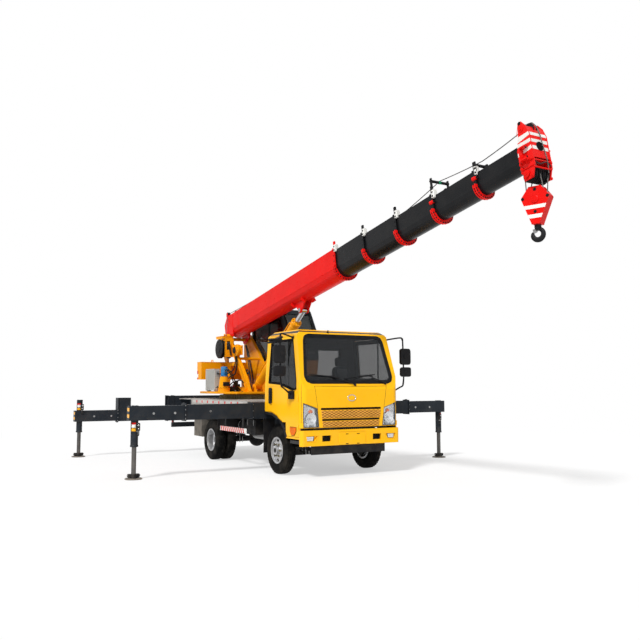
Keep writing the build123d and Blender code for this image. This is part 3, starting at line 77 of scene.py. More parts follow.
OPERATOR_SIDE_X = 1020.0
TOP_SHEAVE_U, TOP_SHEAVE_W = 8840.0, 545.0
LOW_SHEAVE_U, LOW_SHEAVE_W = 8830.0, -22.0
CYLINDER_EYE_U, CYLINDER_EYE_W = 3060.0, -138.0
JACK_X, STAGE_END_X, REAR_BOX_Y = 3130.0, 3230.0, 4660.0
SIDES = (("left", 1), ("right", -1))

# Each outrigger's name, side, Y, Z, and where its box and its first stage end;
# last its end box: 1 up, 0 none, -1 down
OUTRIGGERS = (("front_right", -1, 560.0, 1022.0, 1140.0, 2320.0, 0),
              ("front_left", 1, 800.0, 1022.0, 1140.0, 2320.0, 0),
              ("rear_right", -1, REAR_BOX_Y, 829.0, 1280.0, 2358.0, 1),
              ("rear_left", 1, REAR_BOX_Y, 1085.0, 1280.0, 2358.0, -1))


def at(x, y, z):
    """Point of the vehicle's frame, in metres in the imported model's."""
    return Vector((x / 1000, y / 1000 + SHIFT, z / 1000))


def boom_at(x, u, w):
    """Point of the boom's own frame: u runs forward from the foot pin, w up from it."""
    return at(x, PIVOT_Y - u * BOOM_C + w * BOOM_S, PIVOT_Z + u * BOOM_S + w * BOOM_C)


# Materials

def new_material(name):
    m = bpy.data.materials.new(name)
    m.use_nodes = True
    tree = m.node_tree
    shader = next(n for n in tree.nodes if n.type == "BSDF_PRINCIPLED")
    return m, tree, shader


def node(tree, kind, **values):
    """New shader node with its settings and inputs."""
    n = tree.nodes.new(kind)
    for key, value in values.items():
        if hasattr(n, key):
            setattr(n, key, value)
        else:
            n.inputs[key].default_value = value
    return n


def maths(tree, operation, a, b=None):
    """Output of one sum; a and b are numbers or other outputs."""
    n = tree.nodes.new("ShaderNodeMath")
    n.operation = operation
    for i, value in enumerate((a, b)):
        if value is None:
            continue
        if hasattr(value, "is_output"):
            tree.links.new(value, n.inputs[i])
        else:
            n.inputs[i].default_value = value
    return n.outputs[0]


def axes_of(tree, place):
    """X, Y and Z of a place, each by itself."""
    split = node(tree, "ShaderNodeSeparateXYZ")
    tree.links.new(place, split.inputs[0])
    return split.outputs


def noise(tree, where, scale, detail):
    n = node(tree, "ShaderNodeTexNoise")
    n.inputs["Scale"].default_value = scale
    n.inputs["Detail"].default_value = detail
    tree.links.new(where, n.inputs["Vector"])
    return n.outputs[0]


def spread(tree, value, low, high, to_low, to_high):
    """Value taken from one range to another, clamped at its ends."""
    n = tree.nodes.new("ShaderNodeMapRange")
    for key, number in (("From Min", low), ("From Max", high), ("To Min", to_low), ("To Max", to_high)):
        n.inputs[key].default_value = number
    tree.links.new(value, n.inputs["Value"])
    return n.outputs[0]


def mix(tree, factor, a, b):
    n = tree.nodes.new("ShaderNodeMix")
    n.data_type = "RGBA"
    tree.links.new(factor, n.inputs[0])
    for socket, value in ((n.inputs[6], a), (n.inputs[7], b)):
        if hasattr(value, "is_output"):
            tree.links.new(value, socket)
        else:
            socket.default_value = (*value, 1.0)
    return n.outputs[2]


def surface(name, colour, rough, metallic=0.0, coat=0.0, shade=0.86, dust=0.25, grain=160.0, bump=0.06,
            dust_colour=(0.36, 0.31, 0.25), stretch=(1, 1, 1), zone=None, zone_colour=None, shine=0.3):
    """Painted, moulded or bare surface with tone changes, settled dust near the ground, and a fine skin."""
    m, tree, shader = new_material(name)
    place = node(tree, "ShaderNodeTexCoord").outputs["Object"]
    stretched = node(tree, "ShaderNodeMapping")
    stretched.inputs["Scale"].default_value = stretch
    tree.links.new(place, stretched.inputs["Vector"])
    fine_place = stretched.outputs[0]
    dust_starts, dust_full, least_dust = 1.15, 0.1, 0.12
    tone = spread(tree, noise(tree, fine_place, 2.3, 6.0), 0.32, 0.68, 0.0, 1.0)
    tinted = mix(tree, tone, tuple(c * shade for c in colour), colour)
    if zone is not None:
        tinted = mix(tree, zone(tree, place), tinted, zone_colour)
    low = spread(tree, axes_of(tree, place)[2], dust_starts, dust_full, least_dust, 1.0)
    patch = spread(tree, noise(tree, place, 7.0, 8.0), 0.42, 0.72, 0.0, 1.0)
    dusty = maths(tree, "MULTIPLY", maths(tree, "MULTIPLY", low, patch), dust)
    tree.links.new(mix(tree, dusty, tinted, dust_colour), shader.inputs["Base Color"])
    uneven = noise(tree, fine_place, 28.0, 5.0)
    gloss = spread(tree, uneven, 0.3, 0.7, max(rough - 0.06, 0.02), rough + 0.08)
    tree.links.new(maths(tree, "ADD", gloss, maths(tree, "MULTIPLY", dusty, 0.35)),
                   shader.inputs["Roughness"])
    relief = node(tree, "ShaderNodeBump")
    relief.inputs["Strength"].default_value = bump
    relief.inputs["Distance"].default_value = 0.004
    tree.links.new(noise(tree, fine_place, grain, 3.0), relief.inputs["Height"])
    tree.links.new(relief.outputs[0], shader.inputs["Normal"])
    shader.inputs["Metallic"].default_value = metallic
    shader.inputs["Coat Weight"].default_value = coat
    shader.inputs["Specular IOR Level"].default_value = shine
    shader.inputs["Coat Roughness"].default_value = 0.06
    return m


def inside_cab(tree, place):
    """Lining of the truck cab: 1 behind its outer skin, 0 on the skin."""
    def work(operation, a, b=None):
        return maths(tree, operation, a, b)

    x, y, z = axes_of(tree, place)
    skin_half, side_lean, front_lean, roof_inside = CAB_HALF / 1000 - 0.022, 0.0732, 0.2885, 2.338
    front_inside, rear_inside, screen_foot = at(0, -825, 0).y, at(0, 425, 0).y, 1.48
    lean = work("MULTIPLY", work("MAXIMUM", work("SUBTRACT", z, BELT_Z / 1000), 0.0), side_lean)
    side = work("SUBTRACT", work("SUBTRACT", skin_half, lean), work("ABSOLUTE", x))
    slope = work("MULTIPLY", work("MAXIMUM", work("SUBTRACT", z, screen_foot), 0.0), front_lean)
    ahead = work("SUBTRACT", work("SUBTRACT", y, front_inside), slope)
    behind = work("SUBTRACT", rear_inside, y)
    over = work("SUBTRACT", roof_inside, z)
    nearest = work("MINIMUM", work("MINIMUM", side, ahead), work("MINIMUM", behind, over))
    return work("GREATER_THAN", nearest, 0.0)


def above_sill(tree, place):
    """Dark upper frame of the operator's cab."""
    sill = 1.955
    return maths(tree, "GREATER_THAN", axes_of(tree, place)[2], sill)


def clear(name, colour, alpha):
    """Thin tinted pane."""
    rough = 0.04
    m, tree, shader = new_material(name)
    place = node(tree, "ShaderNodeTexCoord").outputs["Object"]
    film = spread(tree, noise(tree, place, 5.0, 6.0), 0.3, 0.8, rough, rough + 0.07)
    tree.links.new(film, shader.inputs["Roughness"])
    haze = spread(tree, noise(tree, place, 1.7, 4.0), 0.35, 0.65, 0.0, 1.0)
    tree.links.new(mix(tree, haze, tuple(c * 0.8 for c in colour), colour), shader.inputs["Base Color"])
    shader.inputs["Alpha"].default_value = alpha
    shader.inputs["Specular IOR Level"].default_value = 0.6
    m.surface_render_method = "BLENDED"
    return m


def from_pivot(tree, place, direction):
    """Distance from the boom's foot pin in a direction, in metres."""
    n = tree.nodes.new("ShaderNodeVectorMath")
    n.operation = "DOT_PRODUCT"
    tree.links.new(place, n.inputs[0])
    n.inputs[1].default_value = direction
    start = at(0, PIVOT_Y, PIVOT_Z).dot(Vector(direction))
    return maths(tree, "SUBTRACT", n.outputs["Value"], start)


def along_boom(tree, place):
    return from_pivot(tree, place, (0.0, -BOOM_C, BOOM_S))


def collar_zone(front, crease):
    """Red part of a black section: its collar, up to a little above the crease."""
    collar_length, over_crease = 61, 38

    def zone(tree, place):
        near_end = maths(tree, "GREATER_THAN", along_boom(tree, place), (front - collar_length) / 1000)
        height = from_pivot(tree, place, (0.0, BOOM_S, BOOM_C))
        low = maths(tree, "LESS_THAN", height, (crease + over_crease) / 1000)
        return maths(tree, "MULTIPLY", near_end, low)
    return zone


def head_zone(tree, place):
    """Red part of the last section: the boom's head."""
    return maths(tree, "GREATER_THAN", along_boom(tree, place), (HEAD_U - 31) / 1000)


def bumper_zone(tree, place):
    """Black part of the bumper: the valance, steps and brackets behind its face."""
    _, y, z = axes_of(tree, place)
    face_back, valance_top = at(0, -812.2, 0).y, 0.5045
    behind = maths(tree, "GREATER_THAN", y, face_back)
    return maths(tree, "MAXIMUM", behind, maths(tree, "LESS_THAN", z, valance_top))


def drive_zone(tree, place):
    """Blue part of the drives: the motor on the slewing gear."""
    x, _, z = axes_of(tree, place)
    gear_top, gear_inner_x = 1.6452, -0.5
    high = maths(tree, "GREATER_THAN", z, gear_top)
    return maths(tree, "MULTIPLY", high, maths(tree, "LESS_THAN", x, gear_inner_x))


YELLOW_RGB, CRANE_RGB = (0.97, 0.49, 0.005), (0.88, 0.345, 0.002)
RED_RGB, BLACK_RGB = (0.74, 0.008, 0.006), (0.006, 0.0065, 0.008)
TRUCK_PAINT = {"colour": YELLOW_RGB, "rough": 0.32, "coat": 0.04, "shade": 0.93, "dust": 0.10, "shine": 0.14}
CRANE_PAINT = {"colour": CRANE_RGB, "rough": 0.36, "coat": 0.02, "shine": 0.10}
yellow = surface("yellow_paint", **TRUCK_PAINT)
crane_yellow = surface("crane_yellow_paint", shade=0.88, dust=0.14, **CRANE_PAINT)
red = surface("red_paint", RED_RGB, 0.32, coat=0.015, shade=0.88, dust=0.10, shine=0.07)
black_gloss = surface("black_paint", BLACK_RGB, 0.3, shade=0.7, dust=0.15, shine=0.14)
anthracite = surface("anthracite_paint", (0.016, 0.021, 0.028), 0.45, shade=0.75, dust=0.12, shine=0.16)
deck_grey = surface("grey_deck", (0.40, 0.38, 0.355), 0.6, shade=0.8, dust=0.5, bump=0.14, grain=90)
frame_black = surface("black_frame", (0.011, 0.0115, 0.013), 0.55, shade=0.7, dust=0.16, shine=0.14)
silver = surface("wheel_silver", (0.56, 0.565, 0.58), 0.33, metallic=0.75, shade=0.82, dust=0.45)
rubber = surface("rubber", (0.0065, 0.0062, 0.006), 0.8, shade=0.75, dust=0.08, bump=0.3, grain=240,
                 shine=0.07)
steel = surface("steel", (0.42, 0.42, 0.42), 0.38, metallic=0.9, shade=0.8, dust=0.3, stretch=(1, 1, 6))
chrome = surface("chrome_rod", (0.60, 0.61, 0.62), 0.15, metallic=1.0, shade=0.9, dust=0.1, bump=0.02,
                 stretch=(1, 1, 0.2))
plastic = surface("dark_plastic", (0.011, 0.011, 0.0125), 0.55, shade=0.75, dust=0.1, bump=0.22,
                  grain=420, shine=0.14)
seat_cloth = surface("seat_grey", (0.040, 0.043, 0.052), 0.9, shade=0.75, dust=0.0, bump=0.5, grain=700)
seat_light = surface("seat_inset", (0.17, 0.18, 0.20), 0.9, shade=0.8, dust=0.0, bump=0.5, grain=700)
glass = clear("window_glass", (0.010, 0.013, 0.016), 0.42)
dark_glass = clear("operator_glass", (0.012, 0.016, 0.014), 0.66)
lamp_glass = clear("lamp_glass", (0.55, 0.60, 0.66), 0.10)
white = surface("white_paint", (0.80, 0.79, 0.75), 0.4, coat=0.05, shade=0.9, dust=0.25)
strip_grey = surface("strip_grey", (0.52, 0.50, 0.47), 0.45, shade=0.78, dust=0.45)
sign_red = surface("reflective_red", (0.62, 0.012, 0.012), 0.3, shade=0.8, dust=0.12, grain=500,
                   bump=0.12, shine=0.08)
sign_yellow = surface("reflective_yellow", (0.90, 0.42, 0.01), 0.3, shade=0.85, dust=0.1, grain=500,
                      bump=0.12)
amber = surface("amber_lens", (0.88, 0.17, 0.003), 0.25, shade=0.7, dust=0.05, grain=120, bump=0.2,
                shine=0.08)
tail_red = surface("red_lens", (0.50, 0.01, 0.01), 0.2, coat=0.1, shade=0.7, dust=0.1, grain=120, bump=0.2)
reflector = surface("lamp_reflector", (0.80, 0.81, 0.82), 0.12, metallic=0.9, shade=0.75, dust=0.0,
                    grain=45, bump=0.5)
mirror_glass = surface("mirror_glass", (0.70, 0.73, 0.76), 0.04, metallic=1.0, shade=0.95, dust=0.05,
                       bump=0.01)
brass = surface("greased_steel", (0.19, 0.16, 0.075), 0.45, metallic=0.6, shade=0.6, dust=0.4)
blue = surface("blue_motor", (0.03, 0.19, 0.42), 0.4, coat=0.2, shade=0.75, dust=0.2)
# Darker tan of the grille's grooves: painted shade for the recesses between its raised cells
groove_shade = surface("grille_groove_painted_shade", (0.26, 0.095, 0.012), 0.5, shade=0.75, dust=0.1, shine=0.08)
grille_tan = surface("grille_band", (0.76, 0.36, 0.055), 0.42, shade=0.85, dust=0.1, shine=0.12)
hose = surface("hose_rubber", (0.012, 0.012, 0.013), 0.5, shade=0.75, dust=0.3, bump=0.25, grain=500)
wire = surface("wire_rope", (0.20, 0.19, 0.18), 0.45, metallic=0.7, shade=0.5, dust=0.2, bump=0.9,
               grain=330, stretch=(1, 0.35, 1))
flap_grey = surface("flap_grey", (0.115, 0.105, 0.092), 0.7, shade=0.8, dust=0.5, shine=0.1)
pale = surface("cooler_grey", (0.50, 0.49, 0.46), 0.5, metallic=0.2, shade=0.8, dust=0.3)
foot_grey = surface("foot_grey", (0.24, 0.21, 0.18), 0.6, metallic=0.3, shade=0.75, dust=0.4)
jack_steel = surface("jack_steel", (0.12, 0.115, 0.11), 0.38, metallic=0.8, shade=0.7, dust=0.2,
                     stretch=(1, 1, 0.3))
tape_green = surface("green_tape", (0.01, 0.30, 0.14), 0.5)

SLOT_OF = {"yellow_paint": yellow, "red_paint": red, "black_paint": black_gloss, "grey_deck": deck_grey,
           "anthracite_paint": anthracite, "black_frame": frame_black, "wheel_silver": silver,
           "rubber": rubber, "steel": steel, "chrome_rod": chrome, "window_glass": glass,
           "lamp_glass": lamp_glass, "dark_plastic": plastic, "seat_grey": seat_cloth}


# Forms

def lerp(a, b, t):
    """Place between a and b: t is 0 at a and 1 at b."""
    return a + (b - a) * t


def spaced(count, shift=0.0):
    """Angles spaced evenly round a circle, turned on by a share of one step."""
    return [2 * pi * (i + shift) / count for i in range(count)]


def stand(p, axis, value):
    """Point of a plane across axis, in the order XYZ without it, at a place along that axis."""
    return {"x": (value, p[0], p[1]), "y": (p[0], value, p[1]), "z": (p[0], p[1], value)}[axis]


def soften(points, r=26.0):
    """Outline with each corner rounded over a short distance."""
    out = []
    n = len(points)
    for i, p in enumerate(points):
        p, a, b = Vector(p), Vector(points[i - 1]), Vector(points[(i + 1) % n])
        back, ahead = a - p, b - p
        start = p + back.normalized() * min(r, back.length * 0.45)
        end = p + ahead.normalized() * min(r, ahead.length * 0.45)
        out += [tuple(start.lerp(p, t).lerp(p.lerp(end, t), t)) for t in (0.0, 0.33, 0.67, 1.0)]
    return out


def grown(points, by):
    """Outline moved outward by a distance."""
    area = sum(a[0] * b[1] - b[0] * a[1] for a, b in zip(points, points[1:] + points[:1]))
    turn = 1 if area > 0 else -1
    out = []
    n = len(points)
    for i, p in enumerate(points):
        a, b = points[i - 1], points[(i + 1) % n]
        d1 = Vector((p[0] - a[0], p[1] - a[1])).normalized()
        d2 = Vector((b[0] - p[0], b[1] - p[1])).normalized()
        n1, n2 = Vector((d1.y, -d1.x)) * turn, Vector((d2.y, -d2.x)) * turn
        middle = (n1 + n2).normalized()
        reach = by / max(middle.dot(n1), 0.5)
        out.append((p[0] + middle.x * reach, p[1] + middle.y * reach))
    return out


def circle_axes(direction):
    """Unit vector along a direction and two across it."""
    d = Vector(direction).normalized()
    side = Vector((1, 0, 0)) if abs(d.x) < 0.8 else Vector((0, 1, 0))
    a = d.cross(side).normalized()
    return d, a, d.cross(a)


class Piece:
    """Mesh of one piece, put together from closed forms, each with its own material."""

    def __init__(self, name, place=at, side=1):
        self.name, self.place, self.side = name, place, side
        self.bm = bmesh.new()
        self.materials = []

    def both(self):
        """Right and left side in turn: a loop over this mirrors all that it makes to that side."""
        for self.side in (-1, 1):
            yield self.side
        self.side = 1

    def vertex(self, x, y, z):
        return self.bm.verts.new(self.place(x * self.side, y, z))

    def index(self, material):
        if material not in self.materials:
            self.materials.append(material)
        return self.materials.index(material)

    def loft(self, loops, material, ring=False):
        """Skin over loops of points, closed by a face at both ends, or run round to its start."""
        index = self.index(material)
        rows = [[self.vertex(*p) for p in loop] for loop in loops]
        n = len(rows[0])
        pairs = list(zip(rows[:-1], rows[1:])) + ([(rows[-1], rows[0])] if ring else [])
        for a, b in pairs:
            for i in range(n):
                j = (i + 1) % n
                self.bm.faces.new((a[i], a[j], b[j], b[i])).material_index = index
        if not ring:
            self.bm.faces.new(list(reversed(rows[0]))).material_index = index
            self.bm.faces.new(rows[-1]).material_index = index

    def box(self, x0, x1, y0, y1, z0, z1, material, edge=3.0):
        """Block with broken edges."""
        x0, x1, y0, y1, z0, z1 = (*sorted((x0, x1)), *sorted((y0, y1)), *sorted((z0, z1)))
        e = min(edge, (x1 - x0) * 0.4, (y1 - y0) * 0.4, (z1 - z0) * 0.4)

        def loop(z, g):
            a, b, c, d = x0 + g, x1 - g, y0 + g, y1 - g
            return [(a + e, c, z), (b - e, c, z), (b, c + e, z), (b, d - e, z),
                    (b - e, d, z), (a + e, d, z), (a, d - e, z), (a, c + e, z)]
        self.loft([loop(z0, e * 0.8), loop(z0 + e, 0), loop(z1 - e, 0), loop(z1, e * 0.8)], material)

    def turned(self, start, direction, profile, material, sides=24):
        """Turned form: profile gives (distance along, radius)."""
        d, a, b = circle_axes(direction)
        loops = []
        for along, r in profile:
            centre = Vector(start) + d * along
            loops.append([tuple(centre + a * (r * cos(t)) + b * (r * sin(t))) for t in spaced(sides)])
        self.loft(loops, material)

    def rod(self, a, b, r, material, sides=20, edge=2.0):
        length = (Vector(b) - Vector(a)).length
        e = min(edge, length * 0.3, r * 0.4)
        self.turned(a, Vector(b) - Vector(a), [(0, r - e), (e, r), (length - e, r), (length, r - e)],
                    material, sides)

    def hoop(self, centre, axis, ring_r, r, material, sides=10, count=40):
        """Ring of round bar."""
        d, a, b = circle_axes(axis)
        loops = []
        for t in spaced(count):
            out = a * cos(t) + b * sin(t)
            c = Vector(centre) + out * ring_r
            loops.append([tuple(c + out * (r * cos(k)) + d * (r * sin(k))) for k in spaced(sides)])
        self.loft(loops, material, ring=True)

    def prism(self, points, axis, low, high, material, edge=0.0):
        """Plate from an outline in the plane across axis, with broken edges where edge is given."""
        low, high = sorted((low, high))
        cx = sum(p[0] for p in points) / len(points)
        cy = sum(p[1] for p in points) / len(points)
        span = max(hypot(p[0] - cx, p[1] - cy) for p in points)
        k = 1 - edge / span
        small = [(cx + (p[0] - cx) * k, cy + (p[1] - cy) * k) for p in points]
        steps = [(points, low), (points, high)]
        if edge:
            steps = [(small, low), (points, low + edge), (points, high - edge), (small, high)]
        self.loft([[stand(p, axis, value) for p in line] for line, value in steps], material)

    def moulding(self, outline, axis, steps, material, r=0.0, base=None):
        """Frame round an outline: steps give how far it grows and its place along axis, from the base."""
        loops = []
        for by, off in steps:
            line = soften(grown(outline, by), r) if r else grown(outline, by)
            loops.append([stand(p, axis, (base(p[1]) if base else 0.0) + off) for p in line])
        self.loft(loops, material, ring=True)

    def tube(self, points, r, material, sides=10, steps=6, square=None):
        """Pipe through points, rounded between them."""
        pts = [Vector(p) for p in points]
        line = []
        for i in range(len(pts) - 1):
            p0, p1, p2, p3 = pts[max(i - 1, 0)], pts[i], pts[i + 1], pts[min(i + 2, len(pts) - 1)]
            for k in range(steps):
                t = k / steps
                bend = (2 * p0 - 5 * p1 + 4 * p2 - p3) * t * t
                twist = (3 * p1 - p0 - 3 * p2 + p3) * t ** 3
                line.append(0.5 * (2 * p1 + (p2 - p0) * t + bend + twist))
        line.append(pts[-1])
        loops, a = [], None
        for i, p in enumerate(line):
            d = (line[min(i + 1, len(line) - 1)] - line[max(i - 1, 0)]).normalized()
            a = circle_axes(d)[1] if a is None else (a - d * a.dot(d)).normalized()
            b = d.cross(a)
            if square:
                corners = [(-1, -1), (1, -1), (1, 1), (-1, 1)]
                loops.append([tuple(p + a * (square[0] * u) + b * (square[1] * v)) for u, v in corners])
            else:
                loops.append([tuple(p + a * (r * cos(t)) + b * (r * sin(t))) for t in spaced(sides)])
        self.loft(loops, material)

    def bolt(self, centre, direction, r, material, height=None):
        """Hexagon head on its washer, standing along direction."""
        h = height or r * 0.8
        self.turned(centre, direction, [(-r * 0.3, r * 1.5), (r * 0.12, r * 1.5), (r * 0.22, r * 1.4)],
                    material, 16)
        self.turned(centre, direction, [(0, r), (h * 0.8, r), (h, r * 0.85)], material, 6)

    def bolt_circle(self, centre, direction, ring_r, count, r, material, shift=0.0):
        """Bolts evenly round a centre, on a face that looks along X or along Z."""
        x, y, z = centre
        for t in spaced(count, shift):
            c, s = ring_r * cos(t), ring_r * sin(t)
            place = (x, y + c, z + s) if direction[0] else (x + c, y + s, z)
            self.bolt(place, direction, r, material)

    def pillow(self, x0, x1, y0, y1, z0, z1, material, power, channels=0, tilt=0.0, inset=None):
        """Padded form with crowned faces and sewn channels; tilt leans it back about its lower edge."""
        index = self.index(material)
        inset_index = self.index(inset) if inset else index
        cx, cy, cz = (x0 + x1) / 2, (y0 + y1) / 2, (z0 + z1) / 2
        hx, hy, hz = (x1 - x0) / 2, (y1 - y0) / 2, (z1 - z0) / 2
        rings, sides = 18, 36

        def bent(value):
            return (abs(value) ** power) * (1 if value > 0 else -1)
        rows = []
        for i in range(rings + 1):
            v = -pi / 2 + pi * i / rings
            row = []
            for t in spaced(sides):
                x = hx * bent(cos(v)) * bent(cos(t))
                y = hy * bent(cos(v)) * bent(sin(t))
                z = hz * bent(sin(v))
                if channels:
                    groove_depth = 0.05 * abs(cos(pi * channels * (x / hx + 1) / 2)) ** 8
                    y, z = y * (1 - groove_depth), z * (1 - groove_depth)
                z2 = z + hz
                row.append(self.vertex(cx + x, cy + y + z2 * sin(tilt), cz - hz + z2 * cos(tilt)))
            rows.append(row)
        for i in range(rings):
            for k in range(sides):
                j = (k + 1) % sides
                try:
                    f = self.bm.faces.new((rows[i][k], rows[i][j], rows[i + 1][j], rows[i + 1][k]))
                except ValueError:
                    continue
                middle = f.calc_center_median()
                near = abs(middle.x - self.place(cx * self.side, cy, cz).x) < hx * 0.55 / 1000
                f.material_index = inset_index if near and 3 < i < rings - 4 else index

    def done(self, body, slot, replaces=(), angle=38.0):
        """Make the object: it rides on one body; given two, it is left unattached with its transform baked
        in.
        """
        bmesh.ops.remove_doubles(self.bm, verts=self.bm.verts, dist=1e-6)
        bmesh.ops.dissolve_degenerate(self.bm, edges=self.bm.edges, dist=1e-6)
        bmesh.ops.recalc_face_normals(self.bm, faces=self.bm.faces)
        mesh = bpy.data.meshes.new(self.name)
        self.bm.to_mesh(mesh)
        self.bm.free()
        for m in self.materials:
            mesh.materials.append(m)
        mesh.shade_smooth()
        mesh.set_sharp_from_angle(angle=radians(angle))
        thing = bpy.data.objects.new(self.name, mesh)
        bpy.context.scene.collection.objects.link(thing)
        if isinstance(body, str):
            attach(thing, body)
        else:
            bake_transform(thing)
        if replaces:
            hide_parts(*replaces)
        return thing


# CAD nodes get their finished materials

slots = {s["node"]: s.get("material_slot") for s in frame["record"]["subparts"]}
special = {"slewing_ring": brass, "head_sheaves": frame_black, "winch_drum": frame_black, "hook": frame_black,
           "front_bumper": surface("bumper_paint", zone=bumper_zone, zone_colour=(0.012, 0.012, 0.014),
                                   **TRUCK_PAINT),
           "drives": surface("drive_paint", shade=0.88, dust=0.12, zone=drive_zone,
                             zone_colour=(0.02, 0.17, 0.42), **CRANE_PAINT),
           "oil_cooler": pale, "hook_block": red}
lined = surface("cab_paint", zone=inside_cab, zone_colour=(0.022, 0.023, 0.026), **TRUCK_PAINT)
framed = surface("operator_cab_paint", shade=0.9, dust=0.1, zone=above_sill,
                 zone_colour=(0.014, 0.018, 0.022), **CRANE_PAINT)
special.update(dict.fromkeys(("cab_shell", "door_left", "door_right"), lined))
special.update(dict.fromkeys(("operator_cab", "operator_door"), framed))
special.update(dict.fromkeys(("operator_glass", "operator_door_glass"), dark_glass))
special.update(dict.fromkeys(("luff_barrel", "luff_cylinder", "turret", "counterweight"), crane_yellow))
special.update({"jack_" + entry[0]: jack_steel for entry in OUTRIGGERS})


def section(step):
    """Top, crease and lowest heights and half width of a boom section; step 0 is the base."""
    top, low = 512.0 - 28.0 * step, 9.0 + 14.5 * step
    return top, top - (top - low) * 0.67, low, 200.0 - 17.0 * step


for step in range(1, 6):
    zone = collar_zone(BASE_FRONT_U + step * EXPOSED, section(step)[1]) if step < 5 else head_zone
    special["boom_section_%d" % (step + 1)] = surface("boom_paint_%d" % (step + 1), BLACK_RGB, 0.3, shade=0.7,
                                                      dust=0.1, shine=0.16, zone=zone, zone_colour=RED_RGB)
for name, thing in frame["nodes"].items():
    chosen = special.get(name) or SLOT_OF[slots[name]]
    thing.data.materials.clear()
    thing.data.materials.append(chosen)

# Floor, light, background and camera

scene = bpy.context.scene
scene.view_settings.view_transform = "Standard"


def make_stage():
    """Pale floor that fades into the white background and keeps the crane's shadow."""
    fade_starts, fade_ends = 4.0, 13.0
    bpy.ops.mesh.primitive_plane_add(size=400, location=(0, 0, -0.001))
    floor = bpy.context.object
    floor.name = "floor"
    m, tree, shader = new_material("floor")
    place = node(tree, "ShaderNodeTexCoord").outputs["Object"]
    uneven = spread(tree, noise(tree, place, 0.8, 4.0), 0.3, 0.7, 0.0, 1.0)
    tree.links.new(mix(tree, uneven, (0.90, 0.90, 0.90), (0.93, 0.93, 0.93)), shader.inputs["Base Color"])
    shader.inputs["Roughness"].default_value = 0.9
    lift = node(tree, "ShaderNodeEmission")
    lift.inputs["Color"].default_value = (1, 1, 1, 1)
    distance = tree.nodes.new("ShaderNodeVectorMath")
    distance.operation = "LENGTH"
    tree.links.new(place, distance.inputs[0])
    fade = spread(tree, distance.outputs["Value"], fade_starts, fade_ends, 0.5, 1.0)
    path = node(tree, "ShaderNodeLightPath")
    seen = maths(tree, "MAXIMUM", path.outputs["Is Camera Ray"], path.outputs["Is Glossy Ray"])
    seen = maths(tree, "MAXIMUM", seen, path.outputs["Is Transmission Ray"])
    blend = node(tree, "ShaderNodeMixShader")
    tree.links.new(maths(tree, "MULTIPLY", seen, fade), blend.inputs[0])
    tree.links.new(shader.outputs[0], blend.inputs[1])
    tree.links.new(lift.outputs[0], blend.inputs[2])
    out = next(n for n in tree.nodes if n.type == "OUTPUT_MATERIAL")
    tree.links.new(blend.outputs[0], out.inputs["Surface"])
    floor.data.materials.append(m)


def make_light():
    """Even white surroundings, a sun from the right and a soft one from ahead."""
    ambient, mirrored = 0.41, 0.7
    world = bpy.data.worlds.new("studio")
    scene.world = world
    world.use_nodes = True
    tree = world.node_tree
    back = next(n for n in tree.nodes if n.type == "BACKGROUND")
    back.inputs["Color"].default_value = (1, 1, 1, 1)
    path = node(tree, "ShaderNodeLightPath")
    seen = maths(tree, "MAXIMUM", path.outputs["Is Camera Ray"], path.outputs["Is Transmission Ray"])
    glossy = maths(tree, "MULTIPLY", path.outputs["Is Glossy Ray"], mirrored)
    seen = maths(tree, "MAXIMUM", seen, glossy)
    tree.links.new(spread(tree, seen, 0.0, 1.0, ambient, 1.0), back.inputs["Strength"])
    suns = (("key", (0.72, -0.44, -0.9), 3.0, 10), ("fill", (0.2, -0.95, -0.25), 0.28, 50))
    for name, direction, strength, angle in suns:
        light = bpy.data.lights.new(name, "SUN")
        light.energy = strength
        light.angle = radians(angle)
        lamp = bpy.data.objects.new(name, light)
        lamp.rotation_mode = "QUATERNION"
        aim = Vector((direction[0], -direction[1], direction[2]))
        lamp.rotation_quaternion = aim.to_track_quat("-Z", "Y")
        scene.collection.objects.link(lamp)


def make_camera():
    """Camera at the photograph's place, level and angle, which looks slightly upward."""
    turn, rise, roll = radians(29.91), radians(5.13), radians(-0.113)
    focal_pixels, picture_width, film_width = 721.46, 640, 36
    eye = (10.79, -6.299, 1.461)

    def across(v):
        return Vector((v[1], -v[0], v[2]))
    side = Vector((sin(turn), cos(turn), 0))
    ahead = Vector((-cos(turn), sin(turn), 0))
    top = Vector((0, 0, 1))
    view = ahead * cos(rise) + top * sin(rise)
    above = top * cos(rise) - ahead * sin(rise)
    r = across(side * cos(roll) + above * sin(roll))
    u = across(above * cos(roll) - side * sin(roll))
    v = across(view)
    place = Matrix(((r.x, u.x, -v.x), (r.y, u.y, -v.y), (r.z, u.z, -v.z))).to_4x4()
    where = across(eye)
    where.y += SHIFT
    place.translation = where
    camera = bpy.data.cameras.new("camera")
    camera.sensor_width = film_width
    camera.lens = focal_pixels / picture_width * film_width
    camera.clip_end = 500
    thing = bpy.data.objects.new("camera", camera)
    thing.matrix_world = place
    scene.collection.objects.link(thing)
    scene.camera = thing


make_stage()
make_light()
make_camera()

# Truck cab

SCREEN = [(722, 1512), (788, 1538), (812, 1602), (742, 2170), (718, 2228), (662, 2250)]
SCREEN_ALL = SCREEN + [(-x, z) for x, z in reversed(SCREEN)]
REAR_WINDOW = [(560, 1600), (560, 2100), (-560, 2100), (-560, 1600)]
DOOR_WINDOW = [(290, 1500), (290, 2190), (-480, 2190), (-680, 1520), (-690, 1400), (-600, 1380), (-120, 1480)]
ARCH = [(445, 1000), (160, 985), (-20, 935), (-180, 850), (-290, 750), (-352, 622)]
BADGE_Z = 1250
LAMP_BACK_Y = -812
SCREEN_FOOT_Z, SCREEN_TOP_Z = 1480.0, 2305.0


def screen_y(z):
    """Slope of the cab's front above the belt."""
    return -838.0 + (z - SCREEN_FOOT_Z) / (SCREEN_TOP_Z - SCREEN_FOOT_Z) * 238.0


